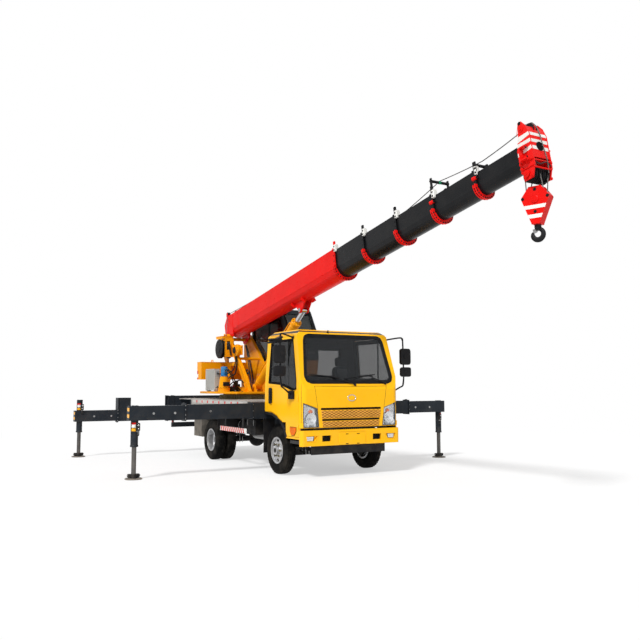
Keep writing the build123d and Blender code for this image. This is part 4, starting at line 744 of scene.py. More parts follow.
def nose_y(z):
    """Front face of the cab below the belt."""
    if z > 1390:
        return CAB_FRONT + (z - 1390.0) * 0.3
    return CAB_FRONT + min(max(1000.0 - z, 0.0), 140.0) / 14.0


def side_x(z):
    """Half width of the cab at a height."""
    return CAB_HALF - max(z - BELT_Z, 0.0) * 60.0 / 820.0


def make_wiper(wipers, pivot, elbow, blade):
    """Wiper with its spindle, arm, curved blade and rubber; each point is given by X and Z."""
    x, z = pivot
    y = nose_y(z) if z < SCREEN_FOOT_Z else screen_y(z)
    wipers.turned((x, y + 6, z), (0, -1, 0.3), [(0, 21), (16, 20), (26, 15), (31, 8)], plastic, 20)
    start = (x, y - 16, z + 6)
    end = (elbow[0], screen_y(elbow[1]) - 8, elbow[1])
    middle = tuple(lerp(a, b, 0.35) for a, b in zip(start, end))
    wipers.tube([start, (middle[0], middle[1] - 10, middle[2]), end], 8, plastic, 8, 5)
    line, edge = [], []
    for i in range(9):
        x, z = (lerp(a, b, i / 8) for a, b in zip(*blade))
        bow = 5 * sin(pi * i / 8)
        line.append((x, screen_y(z) + 1 - bow, z))
        edge.append((x, screen_y(z) + 9, z))
    wipers.tube(line, 7, plastic, 8, 3)
    wipers.tube(edge, 4, rubber, 6, 2)
    x, z = elbow
    wipers.box(x - 26, x + 26, screen_y(z) - 14, screen_y(z) + 2, z - 11, z + 11, plastic, 5)


def make_screen_trim():
    trim = Piece("screen_trim")
    seal = ((38, 2.0), (34, -4.0), (4, -5.0), (-24, 8.0), (-28, 13.6))
    trim.moulding(SCREEN_ALL, "y", seal, black_gloss, 26.0, screen_y)
    seal = ((26, 440.0), (22, 446.0), (2, 447.0), (-24, 426.0), (-28, 422.0))
    trim.moulding(REAR_WINDOW, "y", seal, rubber, 26.0)
    trim.done("cab", "dark_plastic")
    wipers = Piece("wipers")
    make_wiper(wipers, (77, 1456), (-330, 1590), ((-760, 1632), (-190, 1572)))
    make_wiper(wipers, (676, 1477), (360, 1610), ((-95, 1560), (500, 1630)))
    wipers.done("cab", "dark_plastic")


def make_front_trim():
    """Seams, slots with a dark backing as painted shade, roof lip and lamp."""
    trim = Piece("cab_front_trim")
    corner_r, corner_in = 110.0, 87.0
    for _ in trim.both():
        for seam in ([(688, 1440), (678, 1392), (652, 1220), (631, 1096)],
                     [(688, 1440), (350, 1434), (0, 1432)]):
            trim.tube([(x, nose_y(z) + 0.4, z) for x, z in seam], 2.6, plastic, 6, 4)
        y = CAB_FRONT + corner_r - sqrt(corner_r ** 2 - corner_in ** 2) + 1
        trim.tube([(905, y, 1385), (905, y, 800)], 2.0, plastic, 6, 2)
        gutter = ((-560, 2262), (-300, 2290), (360, 2290))
        trim.tube([(side_x(z) + 0.2, y, z) for y, z in gutter], 7, yellow, 8, 5)
    for z0, z1, half in ((1061, 1096, 575), (889, 921, 548)):
        # Dark backing at the bottom of each slot: painted shade for the opening behind the slats
        trim.box(-half + 1, half - 1, -838, -832, z0 + 1, z1 - 1, rubber, 1)
        for i in range(3):
            z = z0 + (z1 - z0) * (i + 0.5) / 3
            trim.box(-half + 1, half - 1, -852, -838, z - 3, z + 3, plastic, 1.5)
    trim.box(-700, 700, -856, -800, 764, 784, plastic, 4)
    lamp = [(0, 16), (30, 16), (36, 11), (52, 11), (56, 7)]
    trim.turned((-287, -585, 2300), (0, -0.35, 1), lamp, plastic, 18)
    trim.done("cab", "dark_plastic")


def make_badge_place():
    """Plain oval ring round a domed plate."""
    badge = Piece("badge_place")
    half_w, half_h, bar = 74, 47.5, 7
    loops = []
    for t in spaced(56):
        out = Vector((half_h * cos(t), half_w * sin(t))).normalized()
        x, z = half_w * cos(t), BADGE_Z + half_h * sin(t)
        loops.append([(x + out.x * bar * cos(k), CAB_FRONT - 3 - 6 * sin(k), z + out.y * bar * cos(k))
                      for k in spaced(10)])
    badge.loft(loops, chrome, ring=True)
    loops = []
    for s, d in ((1.0, -1.0), (1.0, 3.0), (0.8, 5.5), (0.45, 7.5), (0.1, 8.0)):
        loops.append([(70 * s * cos(t), CAB_FRONT - d, BADGE_Z + 44 * s * sin(t)) for t in spaced(56)])
    badge.loft(loops, yellow)
    badge.done("cab", "chrome_rod")


def make_grille_bands():
    """Two bands of crossed waves, with painted shade: their recessed grooves get a darker colour."""
    grille = Piece("grille_bands")
    wave_x, wave_z, columns = 84, 40, 168
    for z0, z1, low_half, high_half in ((927, 1055, 553, 571), (792, 884, 533, 545)):
        lines = int((z1 - z0) / 5)
        index, shade_index = grille.index(grille_tan), grille.index(groove_shade)
        rows = []
        for k in range(lines + 1):
            z = lerp(z0, z1, k / lines)
            half = lerp(low_half, high_half, k / lines)
            row = []
            for i in range(columns + 1):
                x = lerp(-half, half, i / columns)
                across, up = x / wave_x, (z - z0) / wave_z
                a = abs(sin(pi * (across + up)) * sin(pi * (across - up)))
                edge = k in (0, lines) or i in (0, columns)
                row.append((grille.vertex(x, nose_y(z) + (3 if edge else -3 - 8 * a ** 0.6), z), a))
            rows.append(row)
        for k in range(lines):
            for i in range(columns):
                corners = (rows[k][i], rows[k][i + 1], rows[k + 1][i + 1], rows[k + 1][i])
                f = grille.bm.faces.new([c[0] for c in corners])
                # Faces on the recessed lines of the pattern get the darker groove colour as painted shade
                f.material_index = shade_index if sum(c[1] for c in corners) / 4 < 0.26 else index
    grille.done("cab", "yellow_paint", angle=60)


def lens_y(x):
    """Front of the headlamp, round the cab's corner."""
    x = abs(x)
    return -861.0 if x <= 819 else -755.0 - sqrt(max(106.0 ** 2 - (x - 819.0) ** 2, 0.0))


def make_lamp_housing(housing):
    shape = [(633, 1086), (882, 1173), (882, 793), (604, 793)]
    inner = grown(shape, -9)
    rows = [[(x, y if y else lens_y(x) + 3, z) for x, z in outline] for outline, y in
            ((shape, 0), (shape, -803), (inner, -806), (inner, 0))]
    housing.loft(rows, frame_black, ring=True)
    housing.loft([[(x, y, z) for x, z in inner] for y in (-803, LAMP_BACK_Y)], reflector)
    for x, z, r, deep in ((742, 925, 92, 34), (716, 842, 44, 20), (815, 850, 50, 22)):
        bowl = [(0, r * 0.5), (deep * 0.45, r * 0.72), (deep, r), (deep + 3, r), (deep + 3, r - 3),
                (deep * 0.5, r * 0.66), (3, r * 0.3)]
        housing.turned((x, LAMP_BACK_Y, z), (0, -1, 0), bowl, reflector, 32)
        housing.turned((x, LAMP_BACK_Y - 3, z), (0, -1, 0), [(0, 15), (16, 15), (23, 10), (26, 3)],
                       chrome, 16)
    housing.turned((735, LAMP_BACK_Y, 1035), (0, -1, 0), [(0, 34), (8, 34), (20, 28), (27, 12)], amber, 24)
    housing.box(790, 868, LAMP_BACK_Y - 10, LAMP_BACK_Y, 945, 1120, reflector, 3)
    for i in range(7):
        z = 958 + i * 23
        housing.box(796, 862, LAMP_BACK_Y - 16, LAMP_BACK_Y - 8, z, z + 9, chrome, 2)


def make_lens(lens):
    """Pane of a lamp: two skins round the corner and the rim between them."""
    columns, index = 14, lens.index(lamp_glass)
    faces = []
    for off in (0.0, 3.5):
        rows = []
        for j in range(6):
            row = []
            for i in range(columns + 1):
                s, t = i / columns, j / 5
                x = lerp(lerp(604, 633, t), 882, s)
                row.append(lens.vertex(x, lens_y(x) + off, lerp(793, lerp(1086, 1173, s), t)))
            rows.append(row)
        for low, high in zip(rows, rows[1:]):
            for i in range(columns):
                lens.bm.faces.new((low[i], low[i + 1], high[i + 1], high[i])).material_index = index
        right, left = [r[-1] for r in rows[1:]], [r[0] for r in reversed(rows[1:-1])]
        faces.append(rows[0] + right + list(reversed(rows[-1]))[1:] + left)
    rim_a, rim_b = faces
    for i in range(len(rim_a)):
        j = (i + 1) % len(rim_a)
        lens.bm.faces.new((rim_a[i], rim_a[j], rim_b[j], rim_b[i])).material_index = index


def make_headlamps():
    housing, lens = Piece("headlamp_housings"), Piece("headlamp_lenses")
    for _ in housing.both():
        make_lamp_housing(housing)
    for _ in lens.both():
        make_lens(lens)
    housing.done("cab", "lamp_glass", replaces=("headlamps",))
    lens.done("cab", "lamp_glass")


def make_bumper_details():
    """Blank plate's place, fog lamps, slots with a dark backing as painted shade, and the grip of the steps.
    """
    bumper = Piece("bumper_details")
    bumper.box(-252, 252, BUMPER_FRONT - 9, BUMPER_FRONT + 4, 508, 700, yellow, 7)
    for x in (-105, 105):
        for z in (522, 676):
            bumper.box(x - 26, x + 26, BUMPER_FRONT - 11, BUMPER_FRONT - 6, z - 6, z + 6, rubber, 2)
    bumper.box(-252, 252, BUMPER_FRONT - 4, BUMPER_FRONT + 4, 716, 724, yellow, 2)
    opening = [(640, 662), (850, 662), (835, 578), (690, 578)]
    lamp = [(700, 652), (842, 652), (830, 588), (712, 588)]
    for _ in bumper.both():
        bumper.moulding(opening, "y", ((6, -878), (6, -884), (-3, -884), (-6, -853)), yellow)
        bumper.moulding(lamp, "y", ((8, -852), (8, -858), (-2, -858), (-4, -853)), plastic)
        bumper.prism(grown(lamp, -2), "y", -852.5, -856, reflector)
        for x in (728, 756, 784, 812):
            bumper.turned((x, -855, 620), (0, -1, 0), [(0, 12), (6, 12), (10, 7)], reflector, 16)
        # Dark backing behind the slats: painted shade for the slot's opening
        bumper.box(396, 559, -838, -833, 571, 663, rubber, 1)
        for i in range(6):
            z = 582 + i * 14
            bumper.box(396, 559, -850, -836, z, z + 5, plastic, 1.5)
        for x in (425, 460, 495, 530):
            bumper.box(x - 2.5, x + 2.5, -848, -836, 571, 663, plastic, 1)
        for i in range(9):
            y = -790 + i * 34
            bumper.box(806, 919, y, y + 12, 583, 589, rubber, 2)
    bumper.done("chassis", "yellow_paint")


def make_door_details(side, sign):
    """Window seal, grip, side lamp and crease of a door."""
    trim = Piece("door_trim_" + side, side=sign)
    seal = ((20, -3.0), (17, 4.0), (3, 5.0), (-16, -4.0), (-20, -14.0))
    trim.moulding(DOOR_WINDOW, "x", seal, rubber, 26.0, side_x)
    bar_x = side_x(1900)
    trim.box(bar_x - 26, bar_x - 6, -352, -332, 1440, 2192, rubber, 3)
    grip = [(157, 1160), (165, 1147), (245, 1147), (253, 1160), (253, 1400), (245, 1413), (165, 1413),
            (157, 1400)]
    trim.prism(grip, "x", 926, 954, plastic, 6)
    trim.prism([(180, 1200), (230, 1200), (230, 1372), (180, 1372)], "x", 953, 966, plastic, 8)
    lamp = [(-700, 792), (-500, 792), (-500, 735), (-545, 668), (-640, 668), (-700, 735)]
    trim.prism(grown(lamp, 7), "x", 926, 931, plastic, 2)
    trim.prism(lamp, "x", 927, 943, amber, 7)
    trim.tube([(930, -760, 1392), (930, -500, 1362), (930, -100, 1432), (930, 330, 1445)], 4, yellow, 8, 5)
    trim.done("door_" + side, "dark_plastic")


def make_mirrors(side, sign):
    """Two mirrors on their bent arm, and a third that looks down on the right side."""
    heads = Piece("mirror_glass_" + side, side=sign)
    x0, x1 = 1114, 1326
    for y0, y1, z0, z1 in ((-708, -646, 1801, 2083), (-714, -653, 1595, 1761)):
        heads.pillow(x0, x1, y0, y1, z0, z1, plastic, 0.34)
        face = []
        for x, z, in_x, in_z in ((x0, z0, 1, 1), (x1, z0, -1, 1), (x1, z1, -1, -1), (x0, z1, 1, -1)):
            cut = [(x + in_x * 12, z + in_z * 34), (x + in_x * 34, z + in_z * 12)]
            face += cut if in_x == in_z else cut[::-1]
        heads.prism(face, "y", y1 - 3, y1 + 1, mirror_glass, 1)
        middle = (z0 + z1) / 2
        heads.box(1168, 1212, y0 - 14, y0 + 20, middle - 34, middle + 34, plastic, 9)
    for z in (1716, 1868, 2020):
        heads.turned((1190, -664, z), (0, 0, 1), [(0, 16), (30, 16)], plastic, 14)
    arm_end = (1190, -668, 1600)
    upper = [(886, -495, 2222), (1020, -565, 2250), (1150, -632, 2269), (1178, -646, 2250),
             (1190, -650, 2190)]
    lower = [(1184, -666, 1500), (1170, -660, 1440), (1120, -637, 1410), (945, -560, 1300)]
    heads.tube(upper + [arm_end], 13, plastic, 12, 6)
    heads.tube([arm_end] + lower, 13, plastic, 12, 6)
    for y in (-620, -500):
        for z in (1262, 1338):
            heads.bolt((962, y, z), (1, 0, 0), 9, plastic)
    if side == "right":
        heads.pillow(1168, 1372, -720, -560, 2146, 2186, plastic, 0.4)
    heads.done("door_" + side, "dark_plastic")


def make_arch_trim():
    """Lip round each wheel arch."""
    trim = Piece("arch_trim")
    rows = []
    for i, (y, z) in enumerate(ARCH):
        a, b = ARCH[max(i - 1, 0)], ARCH[min(i + 1, len(ARCH) - 1)]
        d = Vector((b[0] - a[0], b[1] - a[1])).normalized()
        out = Vector((-d.y, d.x))
        if out.y < 0 and i < 3:
            out = -out
        inside = (y - out.x * 30, z - out.y * 30)
        outside = (y + out.x * 12, z + out.y * 12)
        rows.append([(872, *inside), (936, *inside), (941, *outside),
                     (929, outside[0] + out.x * 4, outside[1] + out.y * 4), (905, y, z), (872, y, z)])
    for _ in trim.both():
        trim.loft(rows, plastic)
    trim.done("cab", "dark_plastic")


def make_padded(name, body, limits, power, **form):
    """Padded part of a seat: x0, x1, y0, y1, z0, z1 are its limits."""
    piece = Piece(name)
    piece.pillow(*limits, seat_cloth, power, **form)
    piece.done(body, "seat_grey", angle=70)


def make_seat(name, x):
    """Seat with its padded cushion, back and headrest; x is its middle."""
    cushion = (x - 190, x + 190, -130, 335, 1105, 1290)
    back = (x - 180, x + 180, 240, 350, 1270, 1790)
    headrest = (x - 115, x + 115, 292, 382, 1778, 1955)
    make_padded(name + "_cushion", "cab", cushion, 0.38, channels=4, inset=seat_light)
    make_padded(name + "_back", "cab", back, 0.42, channels=4, tilt=0.10, inset=seat_light)
    make_padded(name + "_headrest", "cab", headrest, 0.5, tilt=0.05)
    support = Piece(name + "_base")
    support.box(x - 150, x + 150, -60, 300, 1016, 1112, plastic, 12)
    for dx in (-75, 75):
        support.rod((x + dx, 318, 1740), (x + dx, 330, 1800), 7, chrome, 10)
    support.done("cab", "dark_plastic")


def make_cab_interior():
    """Dash with its vents and screen, engine cover, steering wheel, inner mirror and sun visors."""
    inside = Piece("cab_interior_trim")
    dash = [(-560, 1240), (-575, 1450), (-612, 1506), (-700, 1512), (-770, 1496), (-812, 1400), (-812, 1190),
            (-620, 1190)]
    inside.prism(dash, "x", -780, 780, plastic, 10)
    inside.box(-60, 60, -700, -561, 905, 1200, plastic, 10)
    hood = [(-590, 1500), (-560, 1540), (-620, 1566), (-700, 1545), (-730, 1500)]
    inside.prism(hood, "x", 270, 640, plastic, 12)
    inside.prism([(-565, 1250), (-548, 1260), (-560, 1440), (-578, 1446)], "x", -130, 150, frame_black, 6)
    for x in (-680, -250, 210, 700):
        inside.hoop((x, -567, 1440), (0, 1, 0.1), 34, 5, chrome, 8, 24)
    cover = [(-280, 900), (-300, 1120), (-270, 1150), (270, 1150), (300, 1120), (280, 900)]
    inside.prism(cover, "y", -555, 395, plastic, 14)
    axis = Vector((0, 0.469, 0.883))
    centre = Vector((450, -470, 1520))
    inside.hoop(tuple(centre), tuple(axis), 200, 15, plastic, 12, 48)
    inside.turned(tuple(centre - axis * 20), tuple(axis), [(0, 60), (14, 62), (30, 48), (36, 20)],
                  plastic, 24)
    inside.turned(tuple(centre - axis * 260), tuple(axis), [(0, 34), (240, 26)], plastic, 16)
    _, a, b = circle_axes(tuple(axis))
    for angle in (0.5, 2.64, 4.71):
        out = a * cos(angle) + b * sin(angle)
        inside.tube([tuple(centre + out * 40), tuple(centre + out * 196)], 1, plastic, 4, 3, square=(15, 6))
    inside.pillow(-85, 141, -590, -560, 2135, 2200, plastic, 0.35)
    inside.prism([(-76, 2142), (132, 2142), (132, 2193), (-76, 2193)], "y", -566, -559, mirror_glass, 2)
    inside.rod((28, -570, 2195), (28, -560, 2290), 8, plastic, 10)
    for x in (-600, 600):
        inside.box(x - 170, x + 170, -560, -400, 2290, 2304, seat_light, 5)
    inside.done("cab", "dark_plastic", replaces=("cab_interior",))
    make_seat("seat_right", -515)
    make_seat("seat_left", 535)


make_screen_trim()
make_front_trim()
make_badge_place()
make_grille_bands()
make_headlamps()
make_bumper_details()
for side, sign in SIDES:
    make_door_details(side, sign)
    make_mirrors(side, sign)
make_arch_trim()
make_cab_interior()

# Boom, ropes, head and hook

ROPE_R = 6.5
BLOCK_BELOW, BLOCK_TURN = 135.0, radians(20)
BLOCK_SHEAVE_Z, CHEEK_HALF = -155.0, 165.0


def at_part(p):
    """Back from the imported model's metres to the vehicle's millimetres."""
    return Vector((p.x * 1000, (p.y - SHIFT) * 1000, p.z * 1000))


def lower_curve(step, grow, count=9):
    """Points under a section from one crease round to the other."""
    _, crease, low, half = section(step)
    knee, knee_w = half * 0.86 + grow * 0.8, crease - (crease - low) * 0.45 - grow * 0.6
    sag = knee_w - (low - grow)
    r = (knee ** 2 + sag ** 2) / (2 * sag)
    reach = asin(min(knee / r, 1.0))
    side = [(half + grow, crease - 6), ((half + grow + knee) / 2, (crease + knee_w) / 2)]
    angles = [lerp(reach, -reach, i / (count - 1)) for i in range(count)]
    arc = [(r * sin(t), low - grow + r - r * cos(t)) for t in angles]
    return side + arc + [(-x, w) for x, w in reversed(side)]


def make_ribs(trim, step, front):
    """Ribs and bolts round the collar's lower curve."""
    inner, middle, outer = (lower_curve(step, grow) for grow in (9, 24, 37))
    for (x0, w0), (x1, w1) in zip(inner, outer):
        d = Vector((x1 - x0, w1 - w0)).normalized()
        t = Vector((-d.y, d.x)) * 3.5
        loops = [[(x + t.x * a, front - u, w + t.y * a) for a, u in ((-1, 46), (1, 46), (1, 14), (-1, 14))]
                 for x, w in ((x0, w0), (x1, w1))]
        trim.loft(loops, red)
    for (xa, wa), (xb, wb) in zip(middle, middle[1:]):
        x, w = (xa + xb) / 2, (wa + wb) / 2
        trim.bolt((x, front - 1, w), (0, 1, 0), 8.5, frame_black)
        trim.bolt((x, front - 16, w), (0, -1, 0), 8.5, frame_black)


def make_rope_gantry(trim, step, front, low_w, high):
    """Posts and roller that lift the rope over one of the thin collars, with round guides at its sides."""
    top, _, _, half = section(step)
    guide = [(0, 22), (6, 30), (44, 30), (50, 23), (66, 21), (72, 16)]
    for _ in trim.both():
        trim.turned((half + 4, front - 62, low_w), (0, 1, 0), guide, red, 24)
        trim.bolt((half + 4, front + 8, low_w), (0, 1, 0), 11, plastic)
        x = half - 2
        trim.box(x - 9, x + 9, front - 18, front + 22, top - 20, high, black_gloss, 4)
    trim.rod((-half - 14, front + 2, high - 44), (half + 14, front + 2, high - 44), 20, plastic, 20)


def make_collars():
    """Trim of each section's front collar: ribs, bolts, white pads, posts and rope guides."""
    for step in range(5):
        front = BASE_FRONT_U + step * EXPOSED
        top, crease, _, half = section(step)
        trim = Piece("collar_trim_%d" % (step + 1), boom_at)
        make_ribs(trim, step, front)
        paint = red if step == 0 else black_gloss
        reach = 42 if step < 4 else 21
        for _ in trim.both():
            x = half - 25
            trim.box(half - 54, half + 13, front - 16, front + reach, top - 60, top + 55, white, 6)
            trim.box(x - 14, x + 14, front - 30, front + reach - 4, top + 53, top + 60, white, 3)
            trim.bolt((half + 13, front + 10, top + 22), (1, 0, 0), 10, plastic)
            trim.bolt((half + 13, front + 10, top - 34), (1, 0, 0), 10, plastic)
            trim.rod((x, front - 30, top + 62), (x, front - 30, top + 128), 15, paint, 12)
            for i in range(4):
                w = crease + 30 + i * (top - crease - 60) / 3
                trim.bolt((half + 10, front - 30, w), (1, 0, 0), 8.5, plastic)
        if step == 3:
            high = top + 232
            make_rope_gantry(trim, step, front, 314, high)
            trim.rod((-18, front + 2, high - 44), (22, front + 2, high - 44), 22, tape_green, 20)
        elif step == 4:
            make_rope_gantry(trim, step, front, 297, top + 118)
        trim.done("boom_%d" % (step + 1), "red_paint")


def make_rope():
    """Hoist rope from the winch over the boom to its head, in one run for each joint that it crosses."""
    points = {1: (-40, 4630, 550), 2: (-30, 5470, 522), 3: (-20, 6320, 492),
              4: (0, 7166, 634), 5: (0, 8012, 541), 6: (0, 8712, 600)}
    parts = 10
    for n in range(1, 6):
        a, b = points[n], points[n + 1]
        run = Piece("rope_run_%d" % n, boom_at)
        line = []
        for i in range(parts + 1):
            x, u, w = (lerp(p, q, i / parts) for p, q in zip(a, b))
            line.append((x, u, w - 7 * sin(pi * i / parts)))
        run.tube(line, ROPE_R, wire, 8, 2)
        run.done(("boom_%d" % n, "boom_%d" % (n + 1), boom_at(*a), boom_at(*b)), "steel")
    base = Piece("rope_on_base", boom_at)
    line = [points[1], (-60, 3000, 556), (-110, 1200, 560), (-160, 150, 566), (-176, 20, 566)]
    base.tube(line, ROPE_R, wire, 8, 10)
    base.tube([(0, -15, 640), (0, 60, 640), (0, 120, 545), (0, 240, 522)], 4, wire, 8, 6)
    guide = [(0, 40), (14, 40), (19, 30), (31, 30), (36, 40), (50, 40)]
    base.turned((-200, 0, 566), (1, 0, 0), guide, frame_black, 28)
    for x in (-206, -144):
        base.box(x - 6, x + 6, -34, 34, 500, 590, red, 4)
    base.rod((-214, 0, 566), (-136, 0, 566), 11, steel, 14)
    for u in (900, 1900, 2900, 3900):
        base.box(-92, -48, u - 12, u + 12, 508, 552, plastic, 6)
    base.done("boom_1", "steel")
    drop = Piece("rope_to_winch")
    start, end = Vector((-370, WINCH_Y - 30, WINCH_Z + 155)), at_part(boom_at(-176, -30, 574))
    drop.tube([tuple(start), tuple(start.lerp(end, 0.5)), tuple(end)], ROPE_R, wire, 8, 6)
    drop.done(("superstructure", "boom_1", at(*start), at(*end)), "steel")
    over = Piece("rope_over_head", boom_at)
    line = [points[6], (0, 8770, 620), (0, 8840, 637), (0, 8905, 614), (12, 8958, 480), (26, 8972, 300),
            (60, 8972, 120), (95, 8932, -20)]
    over.tube(line, ROPE_R, wire, 8, 8)
    over.done("boom_6", "steel")


def make_base_details():
    """Seams, pin bosses, access plates and lifting post of the base section."""
    base = Piece("boom_base_trim", boom_at)
    _, crease, _, half = section(0)
    for _ in base.both():
        base.tube([(half + 1, 262, 30), (half + 1, 262, 500)], 4, red, 8, 4)
        base.tube([(half + 1, 4490, crease + 6), (half + 1, 300, crease + 6)], 3, red, 6, 8)
        boss = [(9, 76), (18, 74), (22, 60), (22, 40), (34, 38), (38, 30)]
        base.turned((half, 0, 0), (1, 0, 0), boss, red, 36)
        base.bolt_circle((half + 21, 0, 0), (1, 0, 0), 57, 8, 7, plastic)
        plate = [(300, 160), (300, 470), (560, 470), (560, 160)]
        base.prism(grown(plate, -4), "x", half - 1, half + 3, red, 1.5)
        for u, w in grown(plate, -22):
            base.bolt((half + 2, u, w), (1, 0, 0), 7, plastic)
        eye = [(0, 38), (8, 38), (12, 30), (12, 20)]
        base.turned((88, CYLINDER_EYE_U, CYLINDER_EYE_W), (1, 0, 0), eye, steel, 24)
        for u in (2870, 3260):
            base.tube([(65, u, -20), (150, u, 30)], 1, red, 4, 2, square=(30, 5))
    base.rod((0, -15, 510), (0, -15, 655), 11, red, 14)
    base.box(-26, 26, -34, 4, 520, 534, red, 3)
    base.turned((0, -15, 648), (0, 0, 1), [(0, 16), (14, 16), (20, 9)], red, 16)
    base.done("boom_1", "red_paint")


def head_rear(w):
    """Rear edge of the head's cheek at a height."""
    return 8730 + (w - 300) * 50 / 180 if w > 300 else 8740 - (w - 90) * 10 / 210


def head_front(w):
    """Front edge of the head's cheek at a height."""
    return 8950 - (w - 440) * 40 / 120 if w > 440 else 8950 + (440 - w) * 10 / 380


def head_face(w):
    """Plate across the front of the head at a height, which leans back above its bend."""
    return 8948 if w < 438 else 8948 - (w - 438) * 41 / 120


def make_head_stripes(head):
    """White bands across each cheek and round the front."""
    for rear, front in (((397, 466), (423, 467)), ((339, 385), (337, 379)), ((228, 273), (250, 293))):
        shape = [(head_rear(w) + 1, w) for w in rear] + [(head_front(w) - 1, w) for w in reversed(front)]
        for _ in head.both():
            head.prism(shape, "x", 144.5, 146.5, white, 0.6)
        low, high = front
        bends = [low] + ([438] if low < 438 < high else []) + [high]
        strip = [(head_face(w) + 1.8, w) for w in bends] + [(head_face(w) - 1, w) for w in reversed(bends)]
        head.prism(strip, "x", -145, 145, white)


def make_head_details():
    """Top sheave, pins, bosses, ribs and hose of the boom's head."""
    head = Piece("head_trim", boom_at)
    make_head_stripes(head)
    head.turned((0, 8949, 297), (0, 1, 0), [(-4, 58), (2.5, 58), (2.5, 52), (-3, 50)], plastic, 36)
    head.turned((0, 8946, 297), (0, 1, 0), [(0, 52), (4.8, 52)], rubber, 36)
    sheave = [(0, 60), (3, 90), (12, 90), (24, 80), (38, 80), (50, 90), (59, 90), (62, 60)]
    head.turned((-31, TOP_SHEAVE_U, TOP_SHEAVE_W), (1, 0, 0), sheave, frame_black, 40)
    head.turned((-36, TOP_SHEAVE_U, TOP_SHEAVE_W), (1, 0, 0), [(0, 34), (72, 34)], steel, 24)
    head.rod((-152, 8826, 622), (152, 8826, 622), 11, steel, 14)
    for _ in head.both():
        boss = [(0, 38), (7, 38), (10, 32), (10, 20), (16, 18)]
        head.turned((145, TOP_SHEAVE_U, TOP_SHEAVE_W), (1, 0, 0), boss, red, 28)
        boss = [(0, 44), (8, 44), (12, 38), (12, 24), (16, 22)]
        head.turned((158, LOW_SHEAVE_U, LOW_SHEAVE_W), (1, 0, 0), boss, red, 28)
        head.bolt((145, 8826, 622), (1, 0, 0), 15, plastic)
        for u, w in ((8762, 120), (8768, 60), (8776, 10), (8800, -60), (8905, -70)):
            head.turned((144, u, w), (1, 0, 0), [(0, 20), (14, 20), (18, 14), (26, 12)], red, 20)
        for w in (158, 272):
            head.bolt((190, 8908, w), (0, 1, 0), 8, plastic)
        for u in (8818, 8902):
            for w, d in ((130, -1), (300, 1)):
                head.turned((180, u, w), (0, 0, d), [(-1, 15), (9, 15), (12, 10)], red, 18)
        head.tube([(147, 8760, 484), (147, 8800, 600)], 3, red, 6, 3)
        for out, u, low, high in ((160, 8740, 118, 128), (156, 8745, 40, 48)):
            head.prism([(u, low), (8955, low), (8955, high), (u, high)], "x", 144, out, red, 2)
    head.box(-150, 150, 8936, 8954, 16, 34, red, 4)
    head.tube([(-138, 8950, 90), (-60, 8966, 60), (40, 8966, 96), (138, 8950, 60)], 7, hose, 8, 8)
    head.done("boom_6", "red_paint")


SHEAVE_PLACE = boom_at(0, LOW_SHEAVE_U, LOW_SHEAVE_W)
BLOCK_Y, BLOCK_Z = at_part(SHEAVE_PLACE).y, at_part(SHEAVE_PLACE).z - BLOCK_BELOW


def block_at(x, y, z):
    """Point of the hook block's own frame, which is turned about the vertical."""
    c, s = cos(BLOCK_TURN), sin(BLOCK_TURN)
    return at(x * c - y * s, BLOCK_Y + x * s + y * c, BLOCK_Z + z)


def cheek_half(z):
    """Half width of the block's cheek, which tapers below its shoulder."""
    return CHEEK_HALF - (-150 - z) * 117 / 290 if z < -150 else CHEEK_HALF


def make_hook():
    """Forged hook with its nut, point and safety latch, in place of the plain one."""
    hook = Piece("crane_hook", block_at)
    ring = Vector((0, 0, -558))
    shank = [(0, 21), (68, 21), (69, 38), (113, 40), (126, 36), (136, 27), (146, 24)]
    hook.turned((0, 0, -368), (0, 0, -1), shank, frame_black, 32)
    rows, steps, ring_r, taper = [], 40, 64, 8
    for i in range(steps + 1):
        turn = radians(lerp(-4, 296, i / steps))
        out = Vector((0, -sin(turn), cos(turn)))
        swell = 1 - abs(turn - radians(165)) / radians(165)
        r = 19 + 10 * max(swell, 0) ** 0.7
        if i > steps - taper:
            r *= sqrt(max(1 - ((i - steps + taper) / 8.6) ** 2, 0.02))
        centre = ring + out * ring_r
        rows.append([tuple(centre + out * (r * cos(k) * 1.12) + Vector((r * 0.86 * sin(k), 0, 0)))
                     for k in spaced(20)])
    hook.loft(rows, frame_black)
    tip = ring + Vector((0, -sin(radians(290)), cos(radians(290)))) * 62
    hook.tube([(0, 16, -506), (0, 34, -516), tuple(tip + Vector((0, 2, 16)))], 1, steel, 4, 4, square=(26, 3))
    hook.rod((-17, 14, -504), (17, 14, -504), 5, steel, 12)
    hook.done("hook", "black_frame", replaces=["hook"])


def make_block():
    """White bands, pin, bolts, edge plates and sheaves of the hook block."""
    block = Piece("hook_block_trim", block_at)
    for _ in block.both():
        for z0, z1 in ((-264, -221), (-376, -331)):
            half0, half1 = cheek_half(z0) - 1, cheek_half(z1) - 1
            block.prism([(-half0, z0), (half0, z0), (half1, z1), (-half1, z1)], "x", 65.5, 67.6, white, 0.6)
        boss = [(0, 44), (9, 44), (13, 36), (13, 26), (18, 22)]
        block.turned((66, 0, BLOCK_SHEAVE_Z), (1, 0, 0), boss, red, 32)
        for y, z in ((0, -38), (0, -300), (-150, -135), (150, -135)):
            block.bolt((66, y, z), (1, 0, 0), 13, plastic)
    for sign in (-1, 1):
        for shape in ([(165, -150), (48, -440), (40, -436), (156, -150)],
                      [(165, -150), (165, -118), (130, -78), (124, -82), (156, -120), (156, -150)]):
            block.prism([(sign * y, z) for y, z in shape], "x", -54.5, 54.5, red)
    sheave = [(0, 90), (3, 121), (8, 121), (15, 112), (23, 112), (30, 121), (35, 121), (38, 90)]
    for x in (-26, 26):
        block.turned((x - 19, 0, BLOCK_SHEAVE_Z), (1, 0, 0), sheave, frame_black, 40)
    block.box(-70, 70, -52, 52, -446, -434, red, 5)
    block.done("hook_block", "red_paint")


